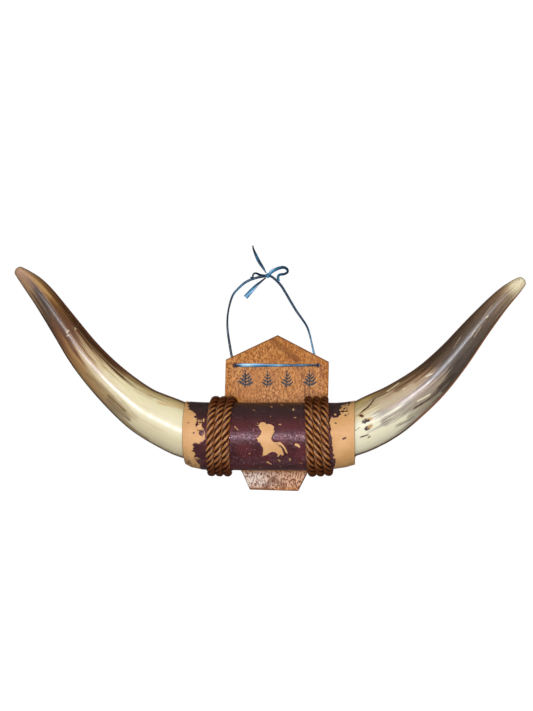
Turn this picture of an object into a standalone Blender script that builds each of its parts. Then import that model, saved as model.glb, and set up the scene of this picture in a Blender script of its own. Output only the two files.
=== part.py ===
"""Bull horn wall hanging.

Two curved horns are plugged onto a turned wooden core, hidden in a peeling
leather-like sleeve. Three turns of laid rope lash the sleeve at each horn's
base. A shield-shaped wooden plaque is screwed to the core from behind and
hangs from a curled ribbon tied over a nail.

Metres, +Z up, the front faces -Y. The origin is the middle of the plaque's
flat back, which lies against the wall, so +Y points into the wall.
"""
import math

import bmesh
import bpy
from mathutils import Vector

MM = 0.001

# Clearance between pieces that touch on the real object
GAP = 0.3 * MM

# Plaque: a shield with a low pointed top, straight sides and a tapered foot.
# It was fixed a little crooked, so its outline is turned about the Y axis.
PLAQUE_THICK = 10.0 * MM
PLAQUE_HALF_WIDTH = 63.2 * MM
PLAQUE_APEX_Z = 124.0 * MM
PLAQUE_SHOULDER_Z = 92.6 * MM
PLAQUE_TAPER_Z = 3.3 * MM
PLAQUE_BOTTOM_Z = -65.5 * MM
PLAQUE_BOTTOM_HALF_WIDTH = 29.4 * MM
PLAQUE_TURN = math.radians(1.26)
PLAQUE_EDGE_ROUND = 0.8 * MM

# Two drilled holes take the ribbon, and a groove behind each leads it upwards
HOLE_RADIUS = 2.0 * MM
HOLE_LEFT = (-49.9 * MM, 86.8 * MM)
HOLE_RIGHT = (52.4 * MM, 86.9 * MM)
GROOVE_END_LEFT = (-54.2 * MM, 98.4 * MM)
GROOVE_END_RIGHT = (47.7 * MM, 100.6 * MM)
GROOVE_WIDTH = 3.6 * MM
GROOVE_DEPTH = 3.4 * MM
GROOVE_OVERRUN = 8.0 * MM

# Rope: three turns at each end of the sleeve, squeezed a little flat
ROPE_HALF_ACROSS = 4.2 * MM
ROPE_HALF_THICK = 3.65 * MM
ROPE_PITCH = 8.85 * MM
ROPE_TURNS = 3
ROPE_SPREAD = 0.08
ROPE_LAY = 25.2 * MM
ROPE_RINGS_PER_LAY = 5
ROPE_STRANDS = 3
ROPE_VALLEY = 0.74
ROPE_LEFT_X = -59.9 * MM
ROPE_RIGHT_X = 54.6 * MM

# Sleeve: x, height of the section's centre, outer radius
SLEEVE_WALL = 1.4 * MM
SLEEVE_RADIUS = 40.2 * MM
SLEEVE_SIDES = 32
SLEEVE_STATIONS = (
    (-102.2, 3.8, 38.0),
    (-95.0, 1.6, 39.3),
    (-81.0, 0.3, 40.1),
    (-62.0, 0.0, 40.2),
    (-15.0, -0.3, 40.2),
    (45.0, 0.0, 40.2),
    (60.0, 0.2, 39.8),
    (75.0, 0.7, 39.0),
    (87.0, 2.2, 38.6),
    (97.4, 4.9, 38.1),
)

# The sleeve's axis stands in front of the plaque by the rope's thickness
ROPE_OUTER_RADIUS = SLEEVE_RADIUS + GAP + 2.0 * ROPE_HALF_THICK
AXIS_Y = -(PLAQUE_THICK + GAP + ROPE_OUTER_RADIUS)

# Horns: x, forward sweep from the sleeve's axis, z, radius. From base to tip.
HORN_SIDES = 18
HORN_RINGS = 24
HORN_LEFT_STATIONS = (
    (-58.0, 0.0, 0.5, 32.6),
    (-80.0, 0.0, 1.4, 32.5),
    (-102.2, 0.2, 5.6, 32.0),
    (-123.6, 1.2, 15.2, 31.0),
    (-143.0, 3.4, 24.3, 29.2),
    (-161.2, 6.1, 35.6, 26.9),
    (-192.8, 12.5, 63.6, 23.2),
    (-220.8, 19.5, 95.0, 20.1),
    (-244.7, 26.6, 129.4, 16.8),
    (-268.5, 33.5, 163.7, 13.8),
    (-282.0, 36.8, 179.5, 11.6),
    (-297.0, 39.6, 193.2, 6.4),
)
HORN_RIGHT_STATIONS = (
    (53.0, 0.0, 0.5, 31.4),
    (75.0, 0.0, 2.2, 30.6),
    (97.4, 0.3, 7.5, 29.4),
    (113.1, 1.3, 15.6, 30.6),
    (131.9, 3.6, 25.3, 29.7),
    (149.9, 6.4, 36.4, 27.3),
    (182.8, 13.0, 61.8, 22.9),
    (211.3, 20.1, 91.8, 18.9),
    (236.7, 27.4, 123.7, 15.3),
    (263.0, 34.5, 154.5, 11.7),
    (277.5, 37.9, 168.4, 9.6),
    (287.6, 39.8, 177.0, 6.4),
)
HORN_TIP_ROUND = 4.6 * MM

# Hollow at each horn's base, and the core's plug that fills it
CORE_Z = 0.5 * MM
SOCKET_MOUTH_RADIUS = 25.0 * MM
SOCKET_END_RADIUS = 14.0 * MM
SOCKET_DEPTH = 40.0 * MM
CORE_SIDES = 24
CORE_EASE = 1.4 * MM

# Screws: from the plaque's back into the core
SCREW_X = 22.0 * MM
SCREW_SHANK_RADIUS = 2.0 * MM
SCREW_HEAD_RADIUS = 4.0 * MM
SCREW_HEAD_HEIGHT = 2.4 * MM
SCREW_LENGTH = 40.0 * MM
SCREW_SINK = 0.6 * MM
SCREW_SLOT_WIDTH = 1.0 * MM
SCREW_SLOT_DEPTH = 0.9 * MM
SCREW_SIDES = 16

# Ribbon: five millimetres wide as sold, folded and curled to about half that.
# The hanging part is one loop, from the left hole over the nail to the right
# hole: x, distance in front of the wall, z.
LOOP_DIAMETER = 2.6 * MM
LOOP_POINTS = 32
LOOP_ROUTE = (
    (-50.2, 1.8, 87.8),
    (-51.8, 1.8, 92.0),
    (-54.3, 1.8, 99.1),
    (-56.9, 2.3, 114.0),
    (-59.2, 2.8, 129.5),
    (-59.8, 3.2, 143.5),
    (-58.3, 3.5, 157.0),
    (-53.4, 3.8, 173.0),
    (-46.0, 4.0, 182.3),
    (-36.5, 4.1, 190.2),
    (-25.0, 4.2, 194.9),
    (-14.7, 4.2, 197.0),
    (-9.0, 4.2, 197.8),
    (-3.2, 4.2, 195.2),
    (5.5, 4.1, 186.9),
    (12.2, 3.9, 176.8),
    (18.6, 3.7, 166.0),
    (25.6, 3.5, 154.5),
    (32.8, 3.2, 144.3),
    (37.9, 2.9, 136.4),
    (41.2, 2.6, 127.8),
    (44.4, 2.2, 114.3),
    (47.7, 1.8, 100.6),
    (50.3, 1.8, 93.0),
    (52.0, 1.8, 88.0),
)

# The stretch between the holes lies on the plaque's front
RIBBON_THICK = 0.9 * MM
FRONT_WIDTH_LEFT = 4.4 * MM
FRONT_WIDTH_RIGHT = 3.0 * MM
FRONT_WIDTH_IN_HOLE = 2.8 * MM
FRONT_TURN_IN = 1.3 * MM

# Knot in front of the loop's top, with two bow loops and two tails.
# Each strip: x, distance in front of the wall, z, width.
KNOT_CENTRE = (-9.6, 8.6, 197.6)
KNOT_RADII = (3.2, 2.7, 3.0)
TAIL_UP = (
    (-11.9, 9.2, 200.9, 1.6),
    (-14.6, 9.4, 206.3, 2.2),
    (-20.1, 9.0, 214.0, 3.6),
    (-24.9, 8.4, 221.6, 4.0),
    (-27.9, 8.2, 228.3, 3.0),
    (-28.8, 8.6, 235.1, 2.2),
)
TAIL_DOWN = (
    (-12.3, 9.2, 194.9, 2.0),
    (-18.7, 9.6, 189.9, 3.0),
    (-24.7, 9.2, 184.4, 4.4),
    (-30.2, 8.6, 178.4, 5.4),
    (-36.1, 8.6, 173.1, 6.0),
)
BOW_LEFT = (
    (-13.4, 8.6, 198.6, 2.6),
    (-17.6, 8.8, 200.1, 3.0),
    (-22.8, 9.0, 201.9, 3.2),
    (-27.0, 9.0, 201.6, 3.2),
    (-28.9, 8.8, 198.7, 3.0),
    (-28.4, 8.6, 195.6, 2.8),
    (-31.1, 8.6, 194.3, 2.6),
)
BOW_RIGHT = (
    (-6.7, 8.8, 200.4, 2.8),
    (-1.4, 9.0, 204.9, 3.2),
    (5.2, 9.2, 207.9, 3.4),
    (10.8, 9.2, 208.1, 3.4),
    (14.2, 9.2, 205.2, 3.4),
    (11.8, 9.0, 201.8, 3.2),
    (5.6, 8.8, 200.3, 3.0),
    (2.4, 8.8, 197.2, 2.8),
    (3.4, 8.8, 191.6, 2.6),
)

COLOUR_HORN_PALE = (0.78, 0.72, 0.56, 1.0)
COLOUR_HORN_DARK = (0.12, 0.10, 0.085, 1.0)
COLOUR_SLEEVE = (0.075, 0.022, 0.020, 1.0)
COLOUR_ROPE = (0.25, 0.12, 0.045, 1.0)
COLOUR_PLAQUE = (0.45, 0.24, 0.12, 1.0)
COLOUR_CORE = (0.50, 0.36, 0.20, 1.0)
COLOUR_STEEL = (0.55, 0.55, 0.56, 1.0)
COLOUR_RIBBON = (0.05, 0.22, 0.55, 1.0)


def clear_scene():
    """Remove every object that the file holds."""
    for old in list(bpy.data.objects):
        bpy.data.objects.remove(old, do_unlink=True)


def plain_material(name, colour, roughness, metallic=0.0):
    """A Principled material of one colour."""
    material = bpy.data.materials.new(name)
    material.use_nodes = True
    shader = material.node_tree.nodes["Principled BSDF"]
    shader.inputs["Base Color"].default_value = colour
    shader.inputs["Roughness"].default_value = roughness
    shader.inputs["Metallic"].default_value = metallic
    material.diffuse_color = colour
    return material


def add_piece(name, bm, material, smooth_degrees=40.0):
    """Turn a closed bmesh into a named object with its material."""
    bmesh.ops.recalc_face_normals(bm, faces=bm.faces)
    mesh = bpy.data.meshes.new(name)
    bm.to_mesh(mesh)
    bm.free()
    mesh.shade_smooth()
    mesh.set_sharp_from_angle(angle=math.radians(smooth_degrees))
    mesh.materials.append(material)
    piece = bpy.data.objects.new(name, mesh)
    bpy.context.scene.collection.objects.link(piece)
    return piece


def add_cutter(name, bm):
    """A shape that only cuts other pieces."""
    bmesh.ops.recalc_face_normals(bm, faces=bm.faces)
    mesh = bpy.data.meshes.new(name)
    bm.to_mesh(mesh)
    bm.free()
    cutter = bpy.data.objects.new(name, mesh)
    cutter.hide_render = True
    cutter.display_type = "WIRE"
    bpy.context.scene.collection.objects.link(cutter)
    return cutter


def cut(piece, cutter):
    """Take the cutter's shape out of the piece."""
    modifier = piece.modifiers.new(cutter.name, "BOOLEAN")
    modifier.operation = "DIFFERENCE"
    modifier.solver = "EXACT"
    modifier.object = cutter


def smooth_points(points, count):
    """Read points evenly along a smooth curve through the given ones.

    Each point is a tuple of any length. Its first three numbers are a place,
    and the others, such as a radius or a width, follow the same curve.
    """
    size = len(points[0])
    first = tuple(2 * points[0][i] - points[1][i] for i in range(size))
    last = tuple(2 * points[-1][i] - points[-2][i] for i in range(size))
    ring = (first,) + tuple(points) + (last,)
    steps = 16
    fine = []
    for k in range(1, len(ring) - 2):
        p0, p1, p2, p3 = ring[k - 1:k + 3]
        for step in range(steps):
            t = step / steps
            fine.append(tuple(
                0.5 * (2 * p1[i] + (p2[i] - p0[i]) * t
                       + (2 * p0[i] - 5 * p1[i] + 4 * p2[i] - p3[i]) * t ** 2
                       + (3 * p1[i] - p0[i] - 3 * p2[i] + p3[i]) * t ** 3)
                for i in range(size)))
    fine.append(tuple(points[-1]))
    reach = [0.0]
    for a, b in zip(fine, fine[1:]):
        reach.append(reach[-1] + (Vector(b[:3]) - Vector(a[:3])).length)
    result = []
    k = 0
    for n in range(count):
        want = reach[-1] * n / (count - 1)
        while k < len(fine) - 2 and reach[k + 1] < want:
            k += 1
        share = (want - reach[k]) / (reach[k + 1] - reach[k])
        share = min(max(share, 0.0), 1.0)
        result.append(tuple(a + (b - a) * share
                            for a, b in zip(fine[k], fine[k + 1])))
    return result


def in_metres(points):
    """Route points of x, distance in front, z and more, as -Y metres."""
    return [(p[0] * MM, -p[1] * MM, p[2] * MM) + tuple(v * MM for v in p[3:])
            for p in points]


def directions(places):
    """Unit direction of travel at each place of a path."""
    result = []
    for k in range(len(places)):
        ahead = places[min(k + 1, len(places) - 1)]
        behind = places[max(k - 1, 0)]
        result.append((ahead - behind).normalized())
    return result


def circle(centre, direction, radius, sides):
    """Points of a circle across the direction, starting at the top."""
    up = Vector((0.0, 0.0, 1.0))
    side = direction.cross(up).normalized()
    top = side.cross(direction).normalized()
    points = []
    for n in range(sides):
        angle = 2 * math.pi * n / sides
        points.append(centre + radius * (math.cos(angle) * top
                                         + math.sin(angle) * side))
    return points


def loft(bm, rings, cap_start=True, cap_end=True):
    """Skin a row of rings that have the same number of points."""
    loops = [[bm.verts.new(point) for point in ring] for ring in rings]
    sides = len(loops[0])
    for a, b in zip(loops, loops[1:]):
        for n in range(sides):
            m = (n + 1) % sides
            bm.faces.new((a[n], a[m], b[m], b[n]))
    if cap_start:
        bm.faces.new(loops[0])
    if cap_end:
        bm.faces.new(loops[-1])
    return loops


def turned(bm, profile, origin, axis, sides):
    """Turn a profile of (distance along the axis, radius) into a solid."""
    rings = [circle(origin + axis * along, axis, radius, sides)
             for along, radius in profile]
    return loft(bm, rings)


def sleeve_section(x):
    """Height of the sleeve's centre and its outer radius at x, in metres."""
    stations = SLEEVE_STATIONS
    for a, b in zip(stations, stations[1:]):
        if x <= b[0] * MM or b is stations[-1]:
            share = (x / MM - a[0]) / (b[0] - a[0])
            share = min(max(share, 0.0), 1.0)
            lift = a[1] + (b[1] - a[1]) * share
            radius = a[2] + (b[2] - a[2]) * share
            return lift * MM, radius * MM
    return 0.0, SLEEVE_RADIUS


def plaque_place(x, z):
    """A point of the plaque's own outline, turned as the plaque hangs."""
    c = math.cos(PLAQUE_TURN)
    s = math.sin(PLAQUE_TURN)
    return (x * c + z * s, z * c - x * s)


def build_plaque(material):
    """Shield-shaped board with eased edges, holes and ribbon grooves."""
    outline = (
        (0.0, PLAQUE_APEX_Z),
        (PLAQUE_HALF_WIDTH, PLAQUE_SHOULDER_Z),
        (PLAQUE_HALF_WIDTH, PLAQUE_TAPER_Z),
        (PLAQUE_BOTTOM_HALF_WIDTH, PLAQUE_BOTTOM_Z),
        (-PLAQUE_BOTTOM_HALF_WIDTH, PLAQUE_BOTTOM_Z),
        (-PLAQUE_HALF_WIDTH, PLAQUE_TAPER_Z),
        (-PLAQUE_HALF_WIDTH, PLAQUE_SHOULDER_Z),
    )
    places = [plaque_place(x, z) for x, z in outline]
    bm = bmesh.new()
    rings = [[Vector((x, y, z)) for x, z in places]
             for y in (0.0, -PLAQUE_THICK)]
    loft(bm, rings)
    plaque = add_piece("plaque", bm, material, 20.0)
    easing = plaque.modifiers.new("eased_edges", "BEVEL")
    easing.width = PLAQUE_EDGE_ROUND
    easing.segments = 1
    easing.limit_method = "ANGLE"
    easing.angle_limit = math.radians(60)
    pairs = ((HOLE_LEFT, GROOVE_END_LEFT, "left"),
             (HOLE_RIGHT, GROOVE_END_RIGHT, "right"))
    for hole, end, side in pairs:
        cut(plaque, hole_cutter("hole_cutter_" + side, hole))
        cut(plaque, groove_cutter("groove_cutter_" + side, hole, end))
    for x, side in ((-SCREW_X, "left"), (SCREW_X, "right")):
        cut(plaque, screw_cutter("plaque_bore_" + side, x))
    return plaque


def hole_cutter(name, hole):
    """Round bar that drills one ribbon hole."""
    bm = bmesh.new()
    reach = PLAQUE_THICK + 2 * MM
    start = Vector((hole[0], 1 * MM, hole[1]))
    turned(bm, ((0.0, HOLE_RADIUS), (reach, HOLE_RADIUS)), start,
           Vector((0.0, -1.0, 0.0)), 16)
    return add_cutter(name, bm)


def groove_cutter(name, hole, end):
    """Square bar that cuts the groove from a hole to the top edge."""
    start = Vector((hole[0], 0.0, hole[1]))
    finish = Vector((end[0], 0.0, end[1]))
    along = (finish - start).normalized()
    across = Vector((-along.z, 0.0, along.x)) * GROOVE_WIDTH / 2
    finish = finish + along * GROOVE_OVERRUN
    rings = []
    for y in (1 * MM, -GROOVE_DEPTH):
        depth = Vector((0.0, y, 0.0))
        rings.append([start - across + depth, finish - across + depth,
                      finish + across + depth, start + across + depth])
    bm = bmesh.new()
    loft(bm, rings)
    return add_cutter(name, bm)


def screw_profile(ease):
    """Countersunk screw from head to point, with the given clearance."""
    head = SCREW_HEAD_RADIUS + ease
    shank = SCREW_SHANK_RADIUS + ease
    return [(0.0, head), (SCREW_HEAD_HEIGHT, shank),
            (SCREW_LENGTH - 4 * MM + ease, shank),
            (SCREW_LENGTH + ease, 0.4 * MM + ease)]


def screw_cutter(name, x):
    """The countersunk bore around one screw."""
    start = Vector((x, -SCREW_SINK, CORE_Z))
    profile = [(-2 * MM, SCREW_HEAD_RADIUS + GAP)] + screw_profile(GAP)
    bm = bmesh.new()
    turned(bm, profile, start, Vector((0.0, -1.0, 0.0)), SCREW_SIDES)
    return add_cutter(name, bm)


def build_screw(name, x, material):
    """Countersunk slotted screw, its head sunk in the plaque's back."""
    start = Vector((x, -SCREW_SINK, CORE_Z))
    bm = bmesh.new()
    turned(bm, screw_profile(0.0), start, Vector((0.0, -1.0, 0.0)),
           SCREW_SIDES)
    screw = add_piece(name, bm, material, 30.0)
    slot = bmesh.new()
    bmesh.ops.create_cube(slot, size=1.0)
    size = Vector((4 * SCREW_HEAD_RADIUS, 2 * SCREW_SLOT_DEPTH,
                   SCREW_SLOT_WIDTH))
    bmesh.ops.scale(slot, vec=size, verts=slot.verts)
    bmesh.ops.translate(slot, vec=start, verts=slot.verts)
    cut(screw, add_cutter(name + "_slot", slot))
    return screw


def build_sleeve(material):
    """Thin open tube over the core and both horn bases."""
    rings = []
    for inset, stations in ((0.0, SLEEVE_STATIONS),
                            (SLEEVE_WALL, SLEEVE_STATIONS[::-1])):
        for x, lift, radius in stations:
            centre = Vector((x * MM, AXIS_Y, lift * MM))
            rings.append(circle(centre, Vector((1.0, 0.0, 0.0)),
                                radius * MM - inset, SLEEVE_SIDES))
    bm = bmesh.new()
    loops = loft(bm, rings, cap_start=False, cap_end=False)
    for n in range(SLEEVE_SIDES):
        m = (n + 1) % SLEEVE_SIDES
        bm.faces.new((loops[-1][n], loops[-1][m], loops[0][m], loops[0][n]))
    sleeve = add_piece("sleeve", bm, material)
    for x, side in ((-SCREW_X, "left"), (SCREW_X, "right")):
        cut(sleeve, screw_cutter("sleeve_bore_" + side, x))
    return sleeve


def build_core(material):
    """Turned wooden joiner with a tapered plug for each horn."""
    start = HORN_LEFT_STATIONS[0][0] * MM
    end = HORN_RIGHT_STATIONS[0][0] * MM
    barrel = SLEEVE_RADIUS - SLEEVE_WALL - CORE_EASE
    mouth = SOCKET_MOUTH_RADIUS - GAP
    tip = SOCKET_END_RADIUS - GAP
    plug = SOCKET_DEPTH - 4 * GAP
    profile = ((start - plug, tip), (start + GAP, mouth),
               (start + GAP, barrel), (end - GAP, barrel),
               (end - GAP, mouth), (end + plug, tip))
    bm = bmesh.new()
    turned(bm, profile, Vector((0.0, AXIS_Y, CORE_Z)),
           Vector((1.0, 0.0, 0.0)), CORE_SIDES)
    core = add_piece("core_block", bm, material)
    for x, side in ((-SCREW_X, "left"), (SCREW_X, "right")):
        cut(core, screw_cutter("core_bore_" + side, x))
    return core


def build_horn(name, stations, material):
    """One curved horn with a hollow base and a blunt rounded tip."""
    points = [(p[0] * MM, AXIS_Y - p[1] * MM, p[2] * MM, p[3] * MM)
              for p in stations]
    rows = smooth_points(points, HORN_RINGS)
    places = [Vector(row[:3]) for row in rows]
    ways = directions(places)
    outward = Vector((math.copysign(1.0, points[0][0]), 0.0, 0.0))
    ways[0] = outward
    mouth = Vector((points[0][0], AXIS_Y, CORE_Z))
    rings = [circle(mouth + outward * SOCKET_DEPTH, outward,
                    SOCKET_END_RADIUS, HORN_SIDES),
             circle(mouth, outward, SOCKET_MOUTH_RADIUS, HORN_SIDES)]
    rings += [circle(place, way, row[3], HORN_SIDES)
              for place, way, row in zip(places, ways, rows)]
    end_radius = rows[-1][3]
    for degrees in (35.0, 62.0, 82.0):
        angle = math.radians(degrees)
        centre = places[-1] + ways[-1] * HORN_TIP_ROUND * math.sin(angle)
        rings.append(circle(centre, ways[-1], end_radius * math.cos(angle),
                            HORN_SIDES))
    bm = bmesh.new()
    loft(bm, rings)
    return add_piece(name, bm, material)


def rope_section(twist):
    """Across and thickness offsets of the laid rope's three-lobed section."""
    points = []
    for n in range(2 * ROPE_STRANDS):
        angle = twist + math.pi * n / ROPE_STRANDS
        share = 1.0 if n % 2 == 0 else ROPE_VALLEY
        points.append((share * ROPE_HALF_ACROSS * math.cos(angle),
                       share * ROPE_HALF_THICK * math.sin(angle)))
    return points


def build_rope(name, centre_x, slant, material):
    """Three turns of laid rope round the sleeve, both ends at the back.

    slant is +1 where the turns climb towards +X over the front, else -1.
    """
    lashing_radius = SLEEVE_RADIUS + GAP + ROPE_HALF_THICK
    length = 2 * math.pi * lashing_radius * ROPE_TURNS
    count = round(length / ROPE_LAY * ROPE_RINGS_PER_LAY)
    rings = []
    for k in range(count + 1):
        turn = ROPE_TURNS * k / count
        angle = 2 * math.pi * turn
        spread = 1 + ROPE_SPREAD * abs(math.sin(angle))
        place = (turn - ROPE_TURNS / 2) * ROPE_PITCH * spread
        x = centre_x + slant * place
        lift, radius = sleeve_section(x)
        around = Vector((0.0, math.cos(angle), -math.sin(angle)))
        middle = (Vector((x, AXIS_Y, lift))
                  + around * (radius + GAP + ROPE_HALF_THICK))
        twist = slant * 2 * math.pi * length * turn / (ROPE_TURNS * ROPE_LAY)
        rings.append([middle + Vector((across, 0.0, 0.0)) + around * out
                      for across, out in rope_section(-twist)])
    bm = bmesh.new()
    loft(bm, rings)
    return add_piece(name, bm, material, 70.0)


def build_ribbon_loop(material):
    """Hanging loop from hole to hole, as a tube of its folded width."""
    places = smooth_points(in_metres(LOOP_ROUTE), LOOP_POINTS)
    curve = bpy.data.curves.new("hanging_ribbon", "CURVE")
    curve.dimensions = "3D"
    curve.bevel_depth = LOOP_DIAMETER / 2
    curve.bevel_resolution = 2
    curve.use_fill_caps = True
    spline = curve.splines.new("POLY")
    spline.points.add(len(places) - 1)
    for point, place in zip(spline.points, places):
        point.co = (place[0], place[1], place[2], 1.0)
    curve.materials.append(material)
    loop = bpy.data.objects.new("hanging_ribbon", curve)
    bpy.context.scene.collection.objects.link(loop)
    return loop


def build_strip(name, rows, normals, material):
    """Flat ribbon along a path; each row is x, y, z and width in metres."""
    places = [Vector(row[:3]) for row in rows]
    rings = []
    for place, way, normal, row in zip(places, directions(places), normals,
                                       rows):
        side = way.cross(normal).normalized() * row[3] / 2
        thick = side.cross(way).normalized() * RIBBON_THICK / 2
        rings.append([place - side - thick, place + side - thick,
                      place + side + thick, place - side + thick])
    bm = bmesh.new()
    loft(bm, rings)
    return add_piece(name, bm, material, 60.0)


def build_front_ribbon(material):
    """Ribbon across the plaque's front, its ends turned in at the holes."""
    face = -(PLAQUE_THICK + GAP + RIBBON_THICK / 2)
    inner = -(GROOVE_DEPTH + GAP)
    edge = -PLAQUE_THICK
    left_x, left_z = HOLE_LEFT
    right_x, right_z = HOLE_RIGHT
    turn = FRONT_TURN_IN
    narrow = FRONT_WIDTH_IN_HOLE
    rows = [
        (left_x, inner, left_z, narrow),
        (left_x, edge + turn, left_z, narrow),
        (left_x + 0.3 * turn, edge - 0.2 * turn, left_z, narrow),
        (left_x + turn, face, left_z, narrow),
        (left_x + 5 * turn, face, left_z, FRONT_WIDTH_LEFT),
        (0.4 * left_x, face, left_z, FRONT_WIDTH_LEFT),
        (0.0, face, (left_z + right_z) / 2, FRONT_WIDTH_RIGHT),
        (right_x - 5 * turn, face, right_z, FRONT_WIDTH_RIGHT),
        (right_x - turn, face, right_z, narrow),
        (right_x - 0.3 * turn, edge - 0.2 * turn, right_z, narrow),
        (right_x, edge + turn, right_z, narrow),
        (right_x, inner, right_z, narrow),
    ]
    places = [Vector(row[:3]) for row in rows]
    upright = Vector((0.0, 0.0, 1.0))
    normals = [upright.cross(way) for way in directions(places)]
    return build_strip("front_ribbon", rows, normals, material)


def build_knot(material):
    """Small tight knot, a rounded lump in front of the loop's top."""
    bm = bmesh.new()
    bmesh.ops.create_icosphere(bm, subdivisions=2, radius=1.0)
    size = Vector(radius * MM for radius in KNOT_RADII)
    bmesh.ops.scale(bm, vec=size, verts=bm.verts)
    x, out, z = KNOT_CENTRE
    centre = Vector((x * MM, -out * MM, z * MM))
    bmesh.ops.translate(bm, vec=centre, verts=bm.verts)
    return add_piece("ribbon_knot", bm, material, 60.0)


def build_tail(name, route, count, material):
    """Free end of the ribbon, its flat side to the front."""
    rows = smooth_points(in_metres(route), count)
    normals = [Vector((0.0, -1.0, 0.0))] * len(rows)
    return build_strip(name, rows, normals, material)


def build_bow(name, route, count, material):
    """Curled bow loop, its ribbon standing on edge to the wall."""
    rows = smooth_points(in_metres(route), count)
    places = [Vector(row[:3]) for row in rows]
    forward = Vector((0.0, 1.0, 0.0))
    normals = [way.cross(forward) for way in directions(places)]
    return build_strip(name, rows, normals, material)


def main():
    """Build every piece of the wall hanging."""
    clear_scene()
    wood = plain_material("plaque_wood", COLOUR_PLAQUE, 0.45)
    build_plaque(wood)
    steel = plain_material("screw_steel", COLOUR_STEEL, 0.35, 1.0)
    build_screw("screw_left", -SCREW_X, steel)
    build_screw("screw_right", SCREW_X, steel)
    skin = plain_material("sleeve_skin", COLOUR_SLEEVE, 0.4)
    build_sleeve(skin)
    build_core(plain_material("core_wood", COLOUR_CORE, 0.7))
    pale = plain_material("horn_pale", COLOUR_HORN_PALE, 0.25)
    build_horn("horn_left", HORN_LEFT_STATIONS, pale)
    dark = plain_material("horn_dark", COLOUR_HORN_DARK, 0.25)
    build_horn("horn_right", HORN_RIGHT_STATIONS, dark)
    fibre = plain_material("rope_fibre", COLOUR_ROPE, 0.8)
    build_rope("rope_left", ROPE_LEFT_X, 1, fibre)
    build_rope("rope_right", ROPE_RIGHT_X, -1, fibre)
    film = plain_material("ribbon_film", COLOUR_RIBBON, 0.2)
    build_front_ribbon(film)
    build_ribbon_loop(film)
    build_knot(film)
    build_tail("ribbon_tail_up", TAIL_UP, 14, film)
    build_tail("ribbon_tail_down", TAIL_DOWN, 12, film)
    build_bow("ribbon_bow_left", BOW_LEFT, 18, film)
    build_bow("ribbon_bow_right", BOW_RIGHT, 26, film)


main()
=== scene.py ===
"""Looks of the bull horn wall hanging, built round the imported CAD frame.

Metres, +Z up, the front faces -Y. The tables of sizes are in millimetres.
"""

import logging
import math
from dataclasses import dataclass, field
from enum import Enum
from functools import partial
from typing import Any, Callable, Sequence

import bmesh
import bpy
import numpy as np
from mathutils import Matrix, Vector


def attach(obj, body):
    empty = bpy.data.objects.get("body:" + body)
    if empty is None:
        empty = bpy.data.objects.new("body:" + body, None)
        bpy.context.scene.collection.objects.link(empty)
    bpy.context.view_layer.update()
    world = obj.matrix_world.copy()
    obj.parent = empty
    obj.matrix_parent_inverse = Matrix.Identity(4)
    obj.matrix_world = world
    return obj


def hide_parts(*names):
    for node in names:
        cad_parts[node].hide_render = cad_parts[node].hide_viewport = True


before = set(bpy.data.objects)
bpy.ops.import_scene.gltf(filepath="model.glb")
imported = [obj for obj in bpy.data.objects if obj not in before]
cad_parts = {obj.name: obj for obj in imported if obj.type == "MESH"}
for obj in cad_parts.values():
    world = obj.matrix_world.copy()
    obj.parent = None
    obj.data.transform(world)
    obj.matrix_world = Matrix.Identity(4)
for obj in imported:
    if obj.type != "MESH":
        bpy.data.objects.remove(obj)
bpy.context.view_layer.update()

MM = 0.001
log = logging.getLogger("wall_hanging")

Socket = bpy.types.NodeSocket
Material = bpy.types.Material
Piece = bpy.types.Object
Colour = tuple[float, ...]
Pair = tuple[float, float]
Triple = tuple[float, float, float]
Table = tuple[tuple[float, ...], ...]
Array = np.ndarray


class Slot(Enum):
    """Material slots of the record that the pieces take their finish from."""

    HORN_PALE = "horn_pale"
    HORN_DARK = "horn_dark"
    CORE = "core_wood"
    SLEEVE = "sleeve_skin"
    ROPE = "rope_fibre"
    PLAQUE = "plaque_wood"
    STEEL = "screw_steel"
    RIBBON = "ribbon_film"


class Side(Enum):
    """Which end of the wall hanging a piece belongs to, seen from the front."""

    LEFT = -1
    RIGHT = 1


class Glow(Enum):
    """What a lamp shows up in: soft light, shine or both."""

    BOTH = (True, True)
    SOFT = (True, False)
    SHINE = (False, True)


# Sizes shared by several pieces

GAP = 0.3
PLAQUE_THICK = 10.0
SLEEVE_RADIUS = 40.2
SLEEVE_WALL = 1.4
ROPE_HALF_THICK = 3.65
AXIS_Y = -(PLAQUE_THICK + GAP + SLEEVE_RADIUS + GAP + 2 * ROPE_HALF_THICK)
CORE_Z = 0.5
SCREW_X = 22.0
# Millimetres round a horn in one degree, near its base.
HORN_ARC = 0.5
# Along the sleeve: x, height of its middle, outer radius.
SLEEVE_STATIONS: Table = (
    (-102.2, 3.8, 38), (-95, 1.6, 39.3), (-81, 0.3, 40.1), (-62, 0, 40.2),
    (-15, -0.3, 40.2), (45, 0, 40.2), (60, 0.2, 39.8), (75, 0.7, 39),
    (87, 2.2, 38.6), (97.4, 4.9, 38.1))
# The ribbon's holes and where their grooves end: x, z.
HOLES: Table = ((-49.9, 86.8), (52.4, 86.9))
GROOVE_ENDS: Table = ((-54.2, 98.4), (47.7, 100.6))


def sleeve_section(x: Array) -> tuple[Array, Array]:
    """Height of the sleeve's centre and its outer radius along its length.

    Args:
        x: Places along the sleeve, in millimetres.

    Returns:
        The centre's height and the radius at each place, in millimetres.
    """
    table = np.array(SLEEVE_STATIONS)
    return (np.interp(x, table[:, 0], table[:, 1]),
            np.interp(x, table[:, 0], table[:, 2]))


# Small helpers for meshes

def activate(piece: Piece) -> None:
    """Select this piece alone and make it the active one."""
    bpy.ops.object.select_all(action="DESELECT")
    piece.select_set(True)
    bpy.context.view_layer.objects.active = piece


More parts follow.
